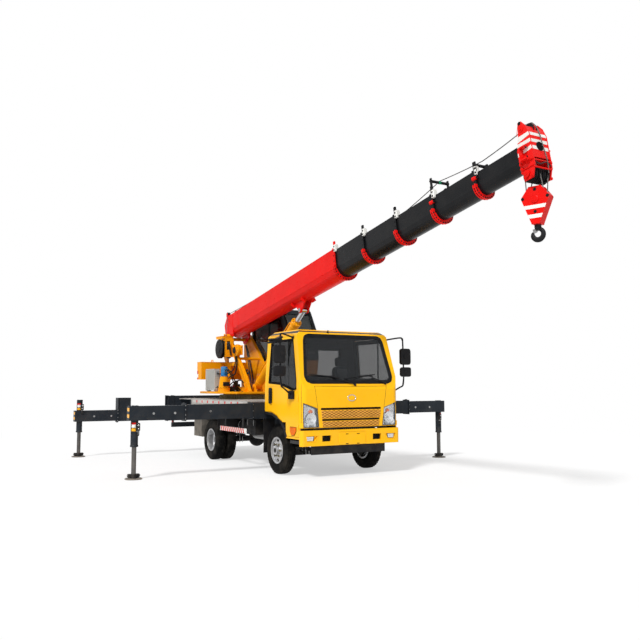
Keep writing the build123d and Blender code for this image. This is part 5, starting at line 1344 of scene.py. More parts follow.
def make_falls():
    """Four falls between the head's sheaves and the block's."""
    falls = Piece("rope_falls")
    start, end = at_part(SHEAVE_PLACE), Vector((0, BLOCK_Y, BLOCK_Z + BLOCK_SHEAVE_Z))
    for x_top, x_low, way in ((-95, -26, 1), (-32, -26, -1), (32, 26, 1), (95, 26, -1)):
        low = at_part(block_at(x_low, way * 112, -150))
        falls.tube([(x_top, start.y + way * 86, start.z), tuple(low)], ROPE_R, wire, 8, 8)
    falls.done(("head_sheaves", "hook_block", at(*start), at(*end)), "steel")


def make_luff_details():
    """Bands, gland bolts, pipes and valve of the luffing cylinder's barrel."""
    pin = Vector((0, LUFF_FOOT_Y, LUFF_FOOT_Z))
    d = (at_part(boom_at(0, CYLINDER_EYE_U, CYLINDER_EYE_W)) - pin).normalized()
    side = Vector((1, 0, 0))
    up = side.cross(d).normalized()
    barrel = Piece("luff_cylinder_trim")
    for along, r, deep in ((2042, 99, 52), (1975, 92, 14), (180, 92, 16)):
        band = [(0, r - 5), (4, r), (deep - 4, r), (deep, r - 5)]
        barrel.turned(tuple(pin + d * along), tuple(d), band, crane_yellow, 36)
    for s in (-1, 1):
        route = ((260, 50, 80), (330, 62, 92), (1800, 62, 92), (1950, 50, 84))
        line = [tuple(pin + d * along + side * off * s - up * drop) for along, off, drop in route]
        barrel.tube(line, 11, crane_yellow, 10, 8)
    x, y, z = pin + d * 240 - up * 100
    barrel.box(x - 50, x + 50, y - 45, y + 45, z - 34, z + 34, steel, 6)
    for t in spaced(8):
        barrel.bolt(tuple(pin + d * 2093 + side * 74 * cos(t) + up * 74 * sin(t)), tuple(d), 7, plastic)
    barrel.done("luff_barrel", "yellow_paint")


make_collars()
make_base_details()
make_rope()
make_head_details()
make_block()
make_hook()
make_falls()
make_luff_details()

# Wheels

TREAD = [(72, 381), (61, 385), (59, 376), (52, 376), (50, 386), (25, 387), (23, 377), (16, 377), (14, 387.5)]
WALL = [(72, 204), (72, 217), (88, 232), (93, 250), (95.5, 252), (95.5, 258), (94, 262), (97.3, 292),
        (97, 318), (92, 344), (85, 362), (78, 372)]
INSIDE = [(-58, 206), (-80, 295), (-62, 348), (62, 348), (80, 295), (58, 206)]


def tread_cut(i, x, r):
    """Depth of the tread's cross grooves at one of the stations round a tyre."""
    if r > 360 and abs(x) > 49 and i % 3 == 0:
        return 10.0
    if r > 384 and abs(x) < 27 and (i + (1 if x > 0 else 2)) % 6 == 0:
        return 5.0
    return 0.0


def make_tyres(name, body, replaced, places, sign):
    """Tyres with side walls, ribs and cross grooves."""
    tyre = Piece(name, side=sign)
    right = WALL + TREAD
    profile = right + [(-x, r) for x, r in reversed(right)] + INSIDE
    for x0, y0 in places:
        loops = []
        for i, t in enumerate(spaced(126)):
            loop = []
            for x, r in profile:
                r -= tread_cut(i, x, r)
                loop.append((x0 + x, y0 + r * cos(t), WHEEL_Z + r * sin(t)))
            loops.append(loop)
        tyre.loft(loops, rubber, ring=True)
    tyre.done(body, "rubber", replaces=(replaced,), angle=32)


def make_hand_hole(piece, x, y, ring_r, angle, a, b):
    """Oval hand hole with a rolled silver edge, on a wheel's disc, filled by a dark cap as painted shade for
    the opening.
    """
    out = Vector((0, cos(angle), sin(angle)))
    across = Vector((0, -sin(angle), cos(angle)))
    direction = Vector((1, 0, 0))
    centre = Vector((x, y, WHEEL_Z)) + out * ring_r
    loops = []
    for t in spaced(28):
        n = out * (b * cos(t)) + across * (a * sin(t))
        loops.append([tuple(centre + n * (1 + 0.10 * cos(k)) + direction * (3.2 * sin(k)))
                      for k in spaced(6)])
    piece.loft(loops, silver, ring=True)
    # Dark cap in the hole: painted shade standing for the space behind the wheel's disc
    loops = []
    for s, h in ((1.0, -2.0), (1.0, 0.8), (0.2, 0.8)):
        loops.append([tuple(centre + out * (b * s * cos(t)) + across * (a * s * sin(t)) + direction * h)
                      for t in spaced(28)])
    piece.loft(loops, rubber)


def make_nuts(piece, x, y, ring_r, height, stud):
    """Six wheel nuts with the stud's end in each."""
    for t in spaced(6):
        place = (x, y + ring_r * cos(t), WHEEL_Z + ring_r * sin(t))
        piece.bolt(place, (1, 0, 0), 15, brass, height)
        piece.turned((x + height - 2, *place[1:]), (1, 0, 0), stud, brass, 12)


def make_rims(side, sign):
    axle = (1, 0, 0)
    front = Piece("wheel_trim_front_" + side, side=sign)
    face = FRONT_TYRE_X + 58
    for t in spaced(6, 0.5):
        make_hand_hole(front, face - 1.5, 0, 158, t, 42, 24)
    make_nuts(front, face, 0, 104, 26, [(0, 9), (9, 9), (12, 6)])
    front.turned((face, 0, WHEEL_Z), axle, [(-2, 124), (4, 122), (7, 116), (7, 90), (3, 86)], silver, 48)
    hub = [(0, 66), (40, 64), (47, 56), (50, 48), (52, 38), (60, 36), (63, 28)]
    front.turned((face + 2, 0, WHEEL_Z), axle, hub, frame_black, 36)
    front.bolt_circle((face + 50, 0, WHEEL_Z), axle, 50, 8, 6, steel, 0.5)
    for off, r in ((80, 209), (66, 194), (-82, 208)):
        front.hoop((FRONT_TYRE_X + off, 0, WHEEL_Z), axle, r, 4.5, silver, 8, 64)
    front.rod((face + 8, -40, WHEEL_Z - 190), (face + 30, -40, WHEEL_Z - 176), 4, brass, 8)
    front.done("wheel_front_" + side, "wheel_silver")

    rear = Piece("wheel_trim_rear_" + side, side=sign)
    face = OUTER_TWIN_X - 99.5
    for t in spaced(6, 0.5):
        make_hand_hole(rear, face + 1, REAR_AXLE_Y, 152, t, 30, 16)
    make_nuts(rear, face, REAR_AXLE_Y, 112, 24, [(0, 9), (10, 9), (13, 6)])
    hub = [(0, 95), (70, 93), (82, 84), (86, 70), (88, 48), (95, 46), (98, 36)]
    rear.turned((face + 4, REAR_AXLE_Y, WHEEL_Z), axle, hub, frame_black, 36)
    rear.bolt_circle((face + 90, REAR_AXLE_Y, WHEEL_Z), axle, 60, 8, 8, steel, 0.5)
    for off, r in ((80, 209), (60, 197)):
        rear.hoop((OUTER_TWIN_X + off, REAR_AXLE_Y, WHEEL_Z), axle, r, 4.5, silver, 8, 64)
    rear.done("wheel_rear_" + side, "wheel_silver")


TWINS = [(OUTER_TWIN_X, REAR_AXLE_Y), (INNER_TWIN_X, REAR_AXLE_Y)]
for side, sign in SIDES:
    make_tyres("treaded_tyre_front_" + side, "wheel_front_" + side, "tyre_front_" + side,
               [(FRONT_TYRE_X, 0)], sign)
    make_tyres("treaded_tyres_rear_" + side, "wheel_rear_" + side, "tyres_rear_" + side, TWINS, sign)
for side, sign in SIDES:
    make_rims(side, sign)

# Chassis, deck and guards

DECK_PLATES = ((-980, -660, 1080, 1960), (660, 980, 1080, 1960), (-500, 500, 980, 1400),
               (-620, 620, 1500, 2380), (-980, -700, 3900, 4440), (700, 980, 3900, 4440))
RAIL_X, GUARD_X, REAR_BAR_Y = 400, 1003, 4959


def make_deck_plate(deck, x0, x1, y0, y1):
    """Bolted plate with its pattern of small raised bars."""
    deck.box(x0, x1, y0, y1, DECK_TOP - 3, DECK_TOP + 3, deck_grey, 2.5)
    for x in (x0 + 40, x1 - 40):
        for y in (y0 + 40, y1 - 40):
            deck.bolt((x, y, DECK_TOP + 3), (0, 0, 1), 9, steel)
    spacing = 80
    columns, lines = int((x1 - x0) / spacing), int((y1 - y0) / spacing)
    for i in range(columns):
        for j in range(lines):
            x, y = x0 + (i + 0.5) * (x1 - x0) / columns, y0 + (j + 0.5) * (y1 - y0) / lines
            turn = 1 if (i + j) % 2 else -1
            shape = [(x - 17, y - 12 * turn), (x - 12, y - 15 * turn), (x + 17, y + 12 * turn),
                     (x + 12, y + 15 * turn)]
            deck.loft([[(px, py, z) for px, py in shape] for z in (DECK_TOP + 2.6, DECK_TOP + 5.2)],
                      deck_grey)


def make_deck_details():
    """Side strips with red marks, bolts, edge bar and plates of the deck."""
    deck = Piece("deck_trim")
    for _ in deck.both():
        deck.box(DECK_SIDE_X - 2, DECK_SIDE_X + 2.5, 1110, 3681, 1098, 1160, strip_grey, 1)
        for i in range(8):
            y = 3443 - i * 300
            deck.box(DECK_SIDE_X + 1, DECK_SIDE_X + 4.5, y - 26, y + 26, 1106, 1152, sign_red, 1)
        for i in range(14):
            deck.bolt((DECK_SIDE_X, 1020 + i * 205, 1086), (1, 0, 0), 7, steel)
        deck.tube([(1036, 935, DECK_TOP), (1036, 3765, DECK_TOP)], 5, deck_grey, 8, 2)
    for plate in DECK_PLATES:
        make_deck_plate(deck, *plate)
    deck.done("chassis", "grey_deck")


def make_guard_details():
    """Side guard with red and white stripes, grey flap panels and the mudguard's pipes."""
    guard = Piece("side_guard_trim")
    for _ in guard.both():
        guard.box(GUARD_X, GUARD_X + 5, 1112, 2238, 604, 686, white, 1)
        for i in range(12):
            y = 1120 + i * 92
            shape = [(y, 604), (y + 46, 604), (y + 86, 686), (y + 40, 686)]
            guard.prism(shape, "x", GUARD_X + 4.5, GUARD_X + 7, sign_red)
        guard.box(GUARD_X, GUARD_X + 9, 1020, 1108, 602, 688, white, 3)
        guard.box(GUARD_X - 3, GUARD_X + 7, 2242, 2290, 596, 694, plastic, 4)
        for z in (606, 674):
            guard.box(GUARD_X - 18, GUARD_X - 3, 1030, 2280, z, z + 10, plastic, 3)
        flap_low, flap_top, flap_y = 424, 903, 3183
        flap = [(604, flap_low), (1026, flap_low), (1026, flap_top), (604, flap_top)]
        guard.prism(flap, "y", flap_y - 12, flap_y, flap_grey, 3)
        guard.box(1020, 1030, flap_y, 3610, flap_low, flap_top, flap_grey, 3)
        for y in (3240, 3400, 3560):
            guard.bolt((1030, y, 880), (1, 0, 0), 9, plastic)
        for x in (660, 970):
            for z in (860, 890):
                guard.bolt((x, flap_y, z), (0, 1, 0), 8, plastic)
        hoop = ((2312, 620), (2312, 880), (2340, 914), (2420, 920), (3080, 920), (3150, 914), (3182, 880),
                (3182, 840))
        for x in (566, 1026):
            guard.tube([(x, y, z) for y, z in hoop], 9, plastic, 8, 6)
        for x in (700, 810, 920):
            guard.tube([(x, 2350, 915), (x, 3150, 915)], 6, plastic, 8, 2)
    guard.done("chassis", "dark_plastic")


def make_rear_details():
    """Rear bar's lamps, stripes, blank plate and marker lamps."""
    rear = Piece("rear_lamps")
    for _ in rear.both():
        rear.box(700, 1062, REAR_BAR_Y - 1, REAR_BAR_Y + 13, 544, 628, plastic, 5)
        for x0, x1, colour in ((712, 800, tail_red), (806, 880, amber), (886, 950, white),
                               (956, 1052, tail_red)):
            rear.box(x0, x1, REAR_BAR_Y + 11, REAR_BAR_Y + 25, 552, 620, colour, 6)
        rear.box(380, 660, REAR_BAR_Y, REAR_BAR_Y + 6, 560, 612, white, 1)
        for x in (400, 470, 540, 610):
            shape = [(x, 560), (x + 34, 560), (x + 52, 612), (x + 18, 612)]
            rear.prism(shape, "y", REAR_BAR_Y + 5, REAR_BAR_Y + 7.5, sign_red)
        rear.turned((1040, 4960, 660), (0, 1, 0), [(0, 30), (8, 30), (12, 24)], tail_red, 24)
        rear.box(1035, 1045, 4920, 4950, 630, 660, plastic, 2)
    rear.box(-255, 255, REAR_BAR_Y, REAR_BAR_Y + 7, 530, 640, white, 2)
    for x in (-230, 230):
        for z in (548, 622):
            rear.bolt((x, REAR_BAR_Y + 7, z), (0, 1, 0), 6, steel)
    rear.box(-1078, 1078, 4896, 4964, 532, 538, plastic, 2)
    rear.done("chassis", "dark_plastic")


def make_air_tank(tank, y0, y1):
    """Round tank with its two straps and brackets."""
    x, z = 560, 690
    length = y1 - y0
    shell = [(0, 40), (14, 82), (34, 104), (length - 34, 104), (length - 14, 82), (length, 40)]
    tank.turned((x, y0, z), (0, 1, 0), shell, frame_black, 36)
    for y in (y0 + 90, y1 - 90):
        tank.hoop((x, y, z), (0, 1, 0), 105, 5, steel, 6, 36)
        tank.box(404, 470, y - 18, y + 18, 650, 730, frame_black, 4)


def make_tanks():
    """Straps and cap of the fuel tank, battery box lid, air tanks and exhaust."""
    tank = Piece("tank_trim")
    shape = [(428, 556), (766, 556), (766, 866), (428, 866)]
    inner = [(432, 561), (761, 561), (761, 861), (432, 861)]
    for y in (1290, 1710):
        strap = ((shape, y - 22, 62), (shape, y + 22, 62), (inner, y + 22, 60), (inner, y - 22, 60))
        tank.loft([[(x, edge, z) for x, z in soften(loop, r)] for loop, edge, r in strap], steel, ring=True)
        tank.bolt((766, y, 700), (1, 0, 0), 10, steel)
    cap = [(0, 52), (18, 52), (22, 46), (22, 38), (40, 38), (46, 32)]
    tank.turned((600, 1230, 856), (0, 0, 1), cap, plastic, 32)
    tank.box(-766, -424, 1174, 1566, 806, 838, plastic, 10)
    for y in (1240, 1500):
        tank.tube([(-768, y, 826), (-776, y, 770), (-768, y, 720)], 5, steel, 8, 4)
    for i in range(5):
        tank.box(-764, -758, 1200, 1540, 590 + i * 42, 602 + i * 42, plastic, 2)
    for sign in tank.both():
        make_air_tank(tank, 1640 if sign < 0 else 1880, 2240 if sign < 0 else 2260)
    pipe = [(-250, 300, 560), (-300, 700, 540), (-330, 1400, 520), (-330, 2200, 520), (-430, 2500, 620),
            (-450, 3200, 620)]
    tank.tube(pipe, 34, steel, 16, 8)
    tank.turned((-330, 1500, 520), (0, 1, 0), [(0, 50), (20, 88), (560, 88), (580, 50)], steel, 28)
    tank.done("chassis", "steel")


def make_frame_details():
    """Rivets, pipes, spring buffers and U-bolts along the rails, and the radiator."""
    rails = Piece("frame_trim")
    for _ in rails.both():
        for i in range(24):
            for z in (618, 724):
                rails.bolt((RAIL_X, -560 + i * 212, z), (1, 0, 0), 9, frame_black)
        for x, r, heights in ((409, 9, (640, 650, 640, 650)), (412, 6, (672, 682, 668, 676))):
            line = [(x, y, z) for y, z in zip((-600, 900, 2000, 4300), heights)]
            rails.tube(line, r, hose, 8, 10)
        for y in (2200, 3300):
            rails.turned((300, y, 700), (0, 0, 1), [(-90, 26), (-60, 40), (-20, 40), (0, 30)], rubber, 20)
        rails.turned((375, REAR_AXLE_Y, 470), (0, 0, 1), [(-40, 20), (0, 20)], steel, 14)
        for y in (-60, 60):
            rails.box(340, 410, y - 10, y + 10, 296, 306, steel, 2)
        for y, low, high in ((-60, 300, 440), (60, 300, 440), (2690, 320, 500), (2810, 320, 500)):
            for x in (345, 405):
                rails.tube([(x, y, low), (x, y, high)], 7, steel, 8, 2)
        rails.tube([(430, 200, 700), (450, 60, 560), (470, 30, 470)], 24, frame_black, 14, 5)
    intake = [(-200, -330, 780), (-330, -420, 800), (-330, -520, 740), (0, -600, 720)]
    rails.tube(intake, 26, hose, 12, 6)
    rails.box(-330, 330, -700, -650, 500, 780, frame_black, 8)
    for i in range(16):
        rails.box(-310 + i * 40, -302 + i * 40, -712, -698, 515, 765, steel, 1)
    rails.done("chassis", "black_frame")


make_deck_details()
make_guard_details()
make_rear_details()
make_tanks()
make_frame_details()

# Superstructure

GEAR_X, GEAR_Y = -640, 2970
WINCH_FLANGE_X = -488
SIDE_PANE = [(3600, 1980), (3600, 2850), (3540, 2905), (2390, 2890), (2150, 2500), (2105, 1980)]
DOOR_PANE = [(2860, 2020), (2860, 2850), (2420, 2835), (2205, 2490), (2165, 2020)]
DOOR_LOW_PANE = [(2860, 1520), (2860, 1960), (2165, 1960), (2205, 1520)]
REAR_PANE = [(3600, 1980), (3600, 2850), (3540, 2905), (2990, 2900), (2990, 1980)]

# Hydraulic hoses, each from its fitting on the base plate
HOSES = [[(-150, 2900, 1340), (-200, 2860, 1500), (-195, 2810, 1700), (-160, 2770, 1660), (-135, 2750, 1500)],
         [(-120, 2950, 1340), (-165, 2920, 1560), (-190, 2870, 1760), (-170, 2810, 1740), (-140, 2770, 1540)],
         [(-380, 3000, 1340), (-400, 2960, 1480), (-330, 2900, 1560), (-260, 2860, 1500), (-200, 2900, 1340)],
         [(-470, 3080, 1340), (-480, 3060, 1440), (-420, 3000, 1520), (-340, 3040, 1460), (-330, 3120, 1340)],
         [(-500, 3300, 1340), (-470, 3300, 1520), (-380, 3260, 1640), (-300, 3200, 1700), (-290, 3140, 1900),
          (-310, 3110, 2060)],
         [(-540, 3360, 1340), (-520, 3350, 1560), (-420, 3300, 1700), (-330, 3230, 1780), (-300, 3180, 1960),
          (-340, 3120, 2070)],
         [(150, 3300, 1340), (170, 3340, 1600), (180, 3500, 1900), (185, 3640, 2200), (186, 3740, 2330)],
         [(120, 3320, 1340), (140, 3380, 1600), (160, 3540, 1900), (178, 3680, 2200), (180, 3760, 2320)]]


def edge_strip(piece, line, x0, x1, thick, material):
    """Flange welded along a plate's edge; the line gives (y, z)."""
    rows = []
    for i, (y, z) in enumerate(line):
        a, b = line[max(i - 1, 0)], line[min(i + 1, len(line) - 1)]
        d = Vector((b[0] - a[0], b[1] - a[1])).normalized()
        n = Vector((-d.y, d.x)) * thick / 2
        rows.append([(x0, y - n.x, z - n.y), (x1, y - n.x, z - n.y), (x1, y + n.x, z + n.y),
                     (x0, y + n.x, z + n.y)])
    piece.loft(rows, material)


def make_side_plates(turret):
    """Flanges, pin bosses and gussets of the two side plates."""
    front = [(2508, 1330), (2560, 1385), (2690, 1590), (3240, 2160), (3700, 2550), (3860, 2560)]
    back = [(3868, 2558), (3935, 2480), (3935, 2070)]
    boss = [(0, 92), (14, 90), (18, 76), (18, 44), (30, 42), (34, 34)]
    for _ in turret.both():
        edge_strip(turret, front, 228, 292, 16, crane_yellow)
        edge_strip(turret, back, 228, 280, 14, crane_yellow)
        turret.box(254, 262, 3090, 3640, 1880, 1930, crane_yellow, 3)
        turret.turned((255, PIVOT_Y, PIVOT_Z), (1, 0, 0), boss, crane_yellow, 40)
        turret.bolt_circle((269, PIVOT_Y, PIVOT_Z), (1, 0, 0), 66, 8, 9, plastic)
        foot = [(0, 48), (12, 46), (14, 28), (22, 26)]
        turret.turned((82, LUFF_FOOT_Y, LUFF_FOOT_Z), (1, 0, 0), foot, crane_yellow, 28)
        for y in (2700, 3400, 3750):
            turret.prism([(256, 1325), (330, 1325), (256, 1415)], "y", y - 7, y + 7, crane_yellow)
    low = [(2800, 1420), (3640, 1420), (3560, 1860), (3160, 1860)]
    high = [(3290, 1950), (3700, 1950), (3740, 2330), (3640, 2330)]
    for window in (low, high):
        rim = ((14, -256), (12, -262), (0, -262), (-2, -229), (4, -229))
        turret.moulding(window, "x", rim, crane_yellow)
    for y in (2990, 3120, 3250):
        turret.bolt((-257, y, 2240), (-1, 0, 0), 10, plastic)


def make_base_plate(turret):
    """Bolts over the slewing ring and the plate's rim."""
    ring_r = 500
    for t in spaced(36):
        x, y = ring_r * cos(t), TURNTABLE_Y + ring_r * sin(t)
        if abs(x) > 280 or y < 2560:
            turret.bolt((x, y, PLATE_TOP - 1), (0, 0, 1), 12, plastic)
    rim_edge = [(-800, 2880), (-560, 2460), (560, 2460), (800, 2880), (800, 3900), (620, 4130),
                (-620, 4130), (-800, 3900)]
    rim = ((2, 1284), (4, 1288), (4, 1322), (2, 1327), (-10, 1327), (-10, 1284))
    turret.moulding(rim_edge, "z", rim, crane_yellow)


def make_winch_frame(turret):
    """Cover, round end guard and front plate with its window, valve and hoses."""
    turret.box(-486, -250, 3462, 3838, 2488, 2498, crane_yellow, 4)
    turret.box(-486, -478, 3560, 3700, 2400, 2470, crane_yellow, 3)
    guard = [(0, 206), (8, 206), (18, 198), (24, 170), (27, 96), (36, 92), (38, 40)]
    turret.turned((WINCH_FLANGE_X, WINCH_Y, WINCH_Z), (-1, 0, 0), guard, frame_black, 48)
    turret.bolt_circle((WINCH_FLANGE_X - 24, WINCH_Y, WINCH_Z), (-1, 0, 0), 140, 8, 9, plastic)
    y, low, high = 3390, 2050, 2440
    for x0, x1, z0, z1 in ((-448, -412, low, high), (-332, -250, low, high), (-412, -332, low, 2200),
                           (-412, -332, 2385, high)):
        turret.box(x0, x1, y, y + 12, z0, z1, crane_yellow, 2)
    turret.box(-452, -440, y, y + 14, low, high, crane_yellow, 3)
    turret.box(-262, -250, y, 3560, low, high, crane_yellow, 3)
    turret.box(-404, -344, y + 8, y + 20, 2220, 2350, plastic, 6)
    for line in ([(-390, 3398, 2330), (-380, 3370, 2300), (-360, 3364, 2240), (-350, 3380, 2180),
                  (-330, 3384, 2090)],
                 [(-360, 3398, 2340), (-352, 3366, 2320), (-346, 3362, 2260), (-320, 3380, 2150),
                  (-300, 3384, 2080)]):
        turret.tube(line, 9, hose, 10, 7)


def make_turret_details():
    turret = Piece("turret_trim")
    make_side_plates(turret)
    make_base_plate(turret)
    make_winch_frame(turret)
    turret.done("superstructure", "yellow_paint")


def make_drives():
    """Slewing gear with its blue motor and hoses, and the winch's motor."""
    drive = Piece("slew_drive_trim")
    x, y, up, out = GEAR_X, GEAR_Y, (0, 0, 1), (-1, 0, 0)
    case = [(0, 126), (12, 126), (16, 118), (64, 118), (66, 126), (78, 126), (82, 112)]
    drive.turned((x, y, PLATE_TOP), up, case, crane_yellow, 40)
    drive.bolt_circle((x, y, 1408), up, 110, 12, 8, plastic)
    drive.turned((x, y, 1636), up, [(0, 92), (9, 92), (11, 74)], blue, 36)
    drive.bolt_circle((x, y, 1645), up, 82, 4, 8, plastic, 0.5)
    motor = [(0, 68), (4, 73), (10, 73), (14, 69), (60, 69), (64, 73), (70, 73), (74, 69), (118, 70),
             (128, 64), (134, 40), (140, 20)]
    drive.turned((x, y, 1700), up, motor, blue, 36)
    drive.box(x - 40, x + 40, y - 92, y - 50, 1690, 1790, blue, 6)
    route = ((0, -105, 1740), (10, -150, 1770), (90, -150, 1690), (210, -60, 1500), (340, 20, 1360))
    for port_x in (x - 20, x + 20):
        drive.turned((port_x, y - 90, 1740), (0, -1, 0), [(0, 14), (18, 14), (22, 10)], steel, 16)
        drive.tube([(port_x + dx, y + dy, z) for dx, dy, z in route], 12, hose, 12, 8)
    drive.box(x - 70, x + 70, y - 130, y - 108, 1440, 1520, plastic, 5)
    case = [(-60, 122), (-54, 124), (-10, 124), (2, 112), (6, 70)]
    drive.turned((-340, MOTOR_Y, MOTOR_Z), out, case, crane_yellow, 36)
    drive.bolt_circle((-342, MOTOR_Y, MOTOR_Z), out, 96, 10, 7, plastic)
    drive.turned((-372, MOTOR_Y, MOTOR_Z), out, [(-2, 72), (4, 72), (12, 60), (16, 30)], frame_black, 32)
    drive.done("superstructure", "yellow_paint")


def make_fan(cooler):
    """Fan's shroud, blades and hub on the cooler's inner side."""
    x, y, z = -690, COOLER_Y, COOLER_Z
    cooler.turned((x, y, z), (1, 0, 0), [(-4, 190), (30, 190), (30, 182), (0, 182)], plastic, 48)
    for t in spaced(7):
        blade = []
        for along, r, off in ((2, 40, -12), (18, 40, 14), (20, 176, 46), (2, 176, -30)):
            blade.append((x + along, y + r * cos(t) + off * sin(t), z + r * sin(t) - off * cos(t)))
        cooler.loft([blade, [(px + 3, py, pz) for px, py, pz in blade]], plastic)
    cooler.turned((x, y, z), (1, 0, 0), [(0, 48), (24, 48), (30, 38)], plastic, 24)


def make_cooler():
    """Fins, frames, fan and hoses of the oil cooler."""
    cooler = Piece("oil_cooler_fins")
    for i in range(48):
        y = 3092 + i * 10
        for x in (-806, -701):
            cooler.box(x, x + 7, y, y + 3.2, 1366, 1772, pale, 0.8)
    low_y, high_y, low_z, high_z = 3076, 3574, 1348, 1789
    for x in (-808, -708):
        for y in (low_y, high_y - 14):
            cooler.box(x, x + 16, y, y + 14, low_z, high_z, pale, 3)
        for z in (low_z, high_z - 16):
            cooler.box(x, x + 16, low_y, high_y, z, z + 16, pale, 3)
    for i in range(9):
        cooler.box(-796, -704, 3074, 3080, 1372 + i * 45, 1400 + i * 45, pale, 2)
    make_fan(cooler)
    for z in (1420, 1700):
        cooler.turned((-750, 3078, z), (0, -1, 0), [(0, 20), (24, 20)], steel, 16)
        line = [(-750, 3060, z), (-745, 3010, z - 10), (-600, 3060, z - 60), (-420, 3200, 1380)]
        cooler.tube(line, 13, hose, 12, 8)
    cooler.done("superstructure", "wheel_silver")


def make_hoses():
    """Hoses with their fittings, and the valve blocks on the base plate."""
    lines = Piece("hydraulic_hoses")
    up = (0, 0, 1)
    for i, run in enumerate(HOSES):
        lines.tube(run, 12 if i % 2 else 15, hose, 12, 8)
        lines.turned(run[0], up, [(-16, 17), (22, 17), (28, 14)], steel, 14)
    lines.box(-520, -300, 2990, 3200, PLATE_TOP, 1420, frame_black, 8)
    for i in range(5):
        x = -490 + i * 42
        lines.turned((x, 3030, 1420), up, [(0, 12), (26, 12), (32, 8)], steel if i % 2 else sign_red, 14)
        lines.turned((x, 3150, 1420), up, [(0, 15), (16, 15), (20, 10)], plastic, 14)
    lines.box(-210, -110, 3360, 3560, PLATE_TOP, 1480, frame_black, 8)
    lines.turned((-160, 3460, 1480), up, [(0, 40), (70, 40), (78, 30)], plastic, 24)
    lines.done("superstructure", "dark_plastic")


def make_weight_details():
    """Warning stripes, lifting eyes, lamps, bolts and edge bands of the counterweight."""
    weight = Piece("counterweight_trim")
    for _ in weight.both():
        for z0, z1, colour in ((1700, 1766, sign_red), (1622, 1700, white), (1586, 1622, sign_red)):
            weight.box(799, 803, 4036, 4096, z0, z1, colour, 1)
        eye = [(520, 3900, 1950), (520, 3900, 1990), (520, 3980, 1990), (520, 3980, 1950)]
        weight.tube(eye, 9, crane_yellow, 10, 5)
        for x in (300, 700):
            weight.bolt((x, WEIGHT_REAR_Y, 1650), (0, 1, 0), 16, plastic)
        for i in range(5):
            x = 120 + i * 128
            shape = [(x, 1600), (x + 62, 1600), (x + 122, 1700), (x + 60, 1700)]
            weight.prism(shape, "y", WEIGHT_REAR_Y - 1, WEIGHT_REAR_Y + 2, sign_red if i % 2 else white)
        weight.box(640, 760, WEIGHT_REAR_Y - 2, WEIGHT_REAR_Y + 12, 1760, 1820, tail_red, 6)
    outline = [(-800, 3850), (800, 3850), (800, WEIGHT_REAR_Y), (-800, WEIGHT_REAR_Y)]
    for z in (1590, 1945):
        weight.moulding(outline, "z", ((-2, z - 7), (2.5, z - 4), (2.5, z + 4), (-2, z + 7)), crane_yellow)
    weight.done("superstructure", "yellow_paint")


def pane_seal(piece, pane, x, outward):
    """Rubber round a side pane; outward is the way it faces."""
    steps = [(by, x + outward * off) for by, off in ((13, -2), (11, 3), (0, 4), (-14, -8), (-17, -19))]
    piece.moulding(pane, "x", steps, rubber, 30)


def make_operator_outside(cab):
    """Seals, wiper, work lamps, roof panel, beacon, grab rail and bolts of the operator's cab."""
    pane_seal(cab, SIDE_PANE, 310, -1)
    pane_seal(cab, REAR_PANE, OPERATOR_SIDE_X, 1)
    cab.tube([(309, 2840, 1985), (309, 2840, 2890)], 1, rubber, 4, 2, square=(14, 5))
    rear = [(385, 2062), (945, 2062), (945, 2828), (385, 2828)]
    seal = ((14, 3698), (12, 3704), (0, 3704), (-14, 3686), (-16, 3682))
    cab.moulding(rear, "y", seal, rubber, 30)
    for x in (366, 964):
        cab.tube([(x, 1998, 2085), (x, 2030, 2505), (x, 2300, 2958)], 9, rubber, 8, 6)
    cab.tube([(366, 1998, 2078), (964, 1998, 2078)], 9, rubber, 8, 2)
    cab.tube([(640, 1994, 2060), (650, 2000, 2110), (700, 2026, 2420)], 7, plastic, 8, 5)
    cab.tube([(560, 2014, 2340), (840, 2022, 2440)], 6, rubber, 8, 3)
    cab.box(600, 690, 1972, 1996, 2030, 2074, plastic, 6)
    for x in (420, 910):
        cab.turned((x, 2318, 2990), (0, -1, 0.1), [(0, 44), (30, 58), (52, 58), (56, 50)], plastic, 28)
        cab.turned((x, 2266, 2995), (0, -1, 0.1), [(0, 52), (3, 50)], reflector, 28)
    roof = [(2330, 2984), (2980, 2995), (3575, 3000), (3560, 3012), (2990, 3008), (2340, 2996)]
    cab.prism(roof, "x", 330, 1000, frame_black, 4)
    cab.prism([(2500, 3002), (3200, 3006), (3180, 3024), (2520, 3020)], "x", 420, 910, frame_black, 8)
    beacon = [(0, 40), (14, 40), (20, 34), (70, 32), (84, 20), (88, 8)]
    cab.turned((900, 3350, 3005), (0, 0, 1), beacon, amber, 28)
    rail = [(1024, 3000, 1420), (1050, 3000, 1460), (1050, 3000, 1900), (1024, 3000, 1940)]
    cab.tube(rail, 11, plastic, 10, 6)
    cab.box(1000, 1016, 2260, 2900, 1318, 1334, frame_black, 4)
    for y in (2500, 2800, 3100, 3400):
        cab.bolt((OPERATOR_SIDE_X, y, 1352), (1, 0, 0), 8, plastic)


def make_operator_inside(cab):
    """Console, screen, arm rests with their levers, and the seat's box."""
    cab.box(420, 910, 2160, 2330, 1369, 1900, plastic, 24)
    cab.prism([(2140, 1900), (2330, 1900), (2330, 1960), (2180, 1990)], "x", 400, 930, plastic, 10)
    cab.box(600, 740, 2300, 2334, 1780, 1880, frame_black, 8)
    for x in (430, 900):
        cab.box(x - 55, x + 55, 2780, 3240, 1760, 1880, plastic, 20)
        cab.rod((x, 2840, 1870), (x, 2820, 2010), 9, plastic, 12)
        cab.turned((x, 2822, 2000), (0, -0.1, 1), [(0, 14), (20, 24), (50, 24), (64, 14)], plastic, 18)
    cab.box(474, 856, 2794, 3256, 1345, 1600, plastic, 14)


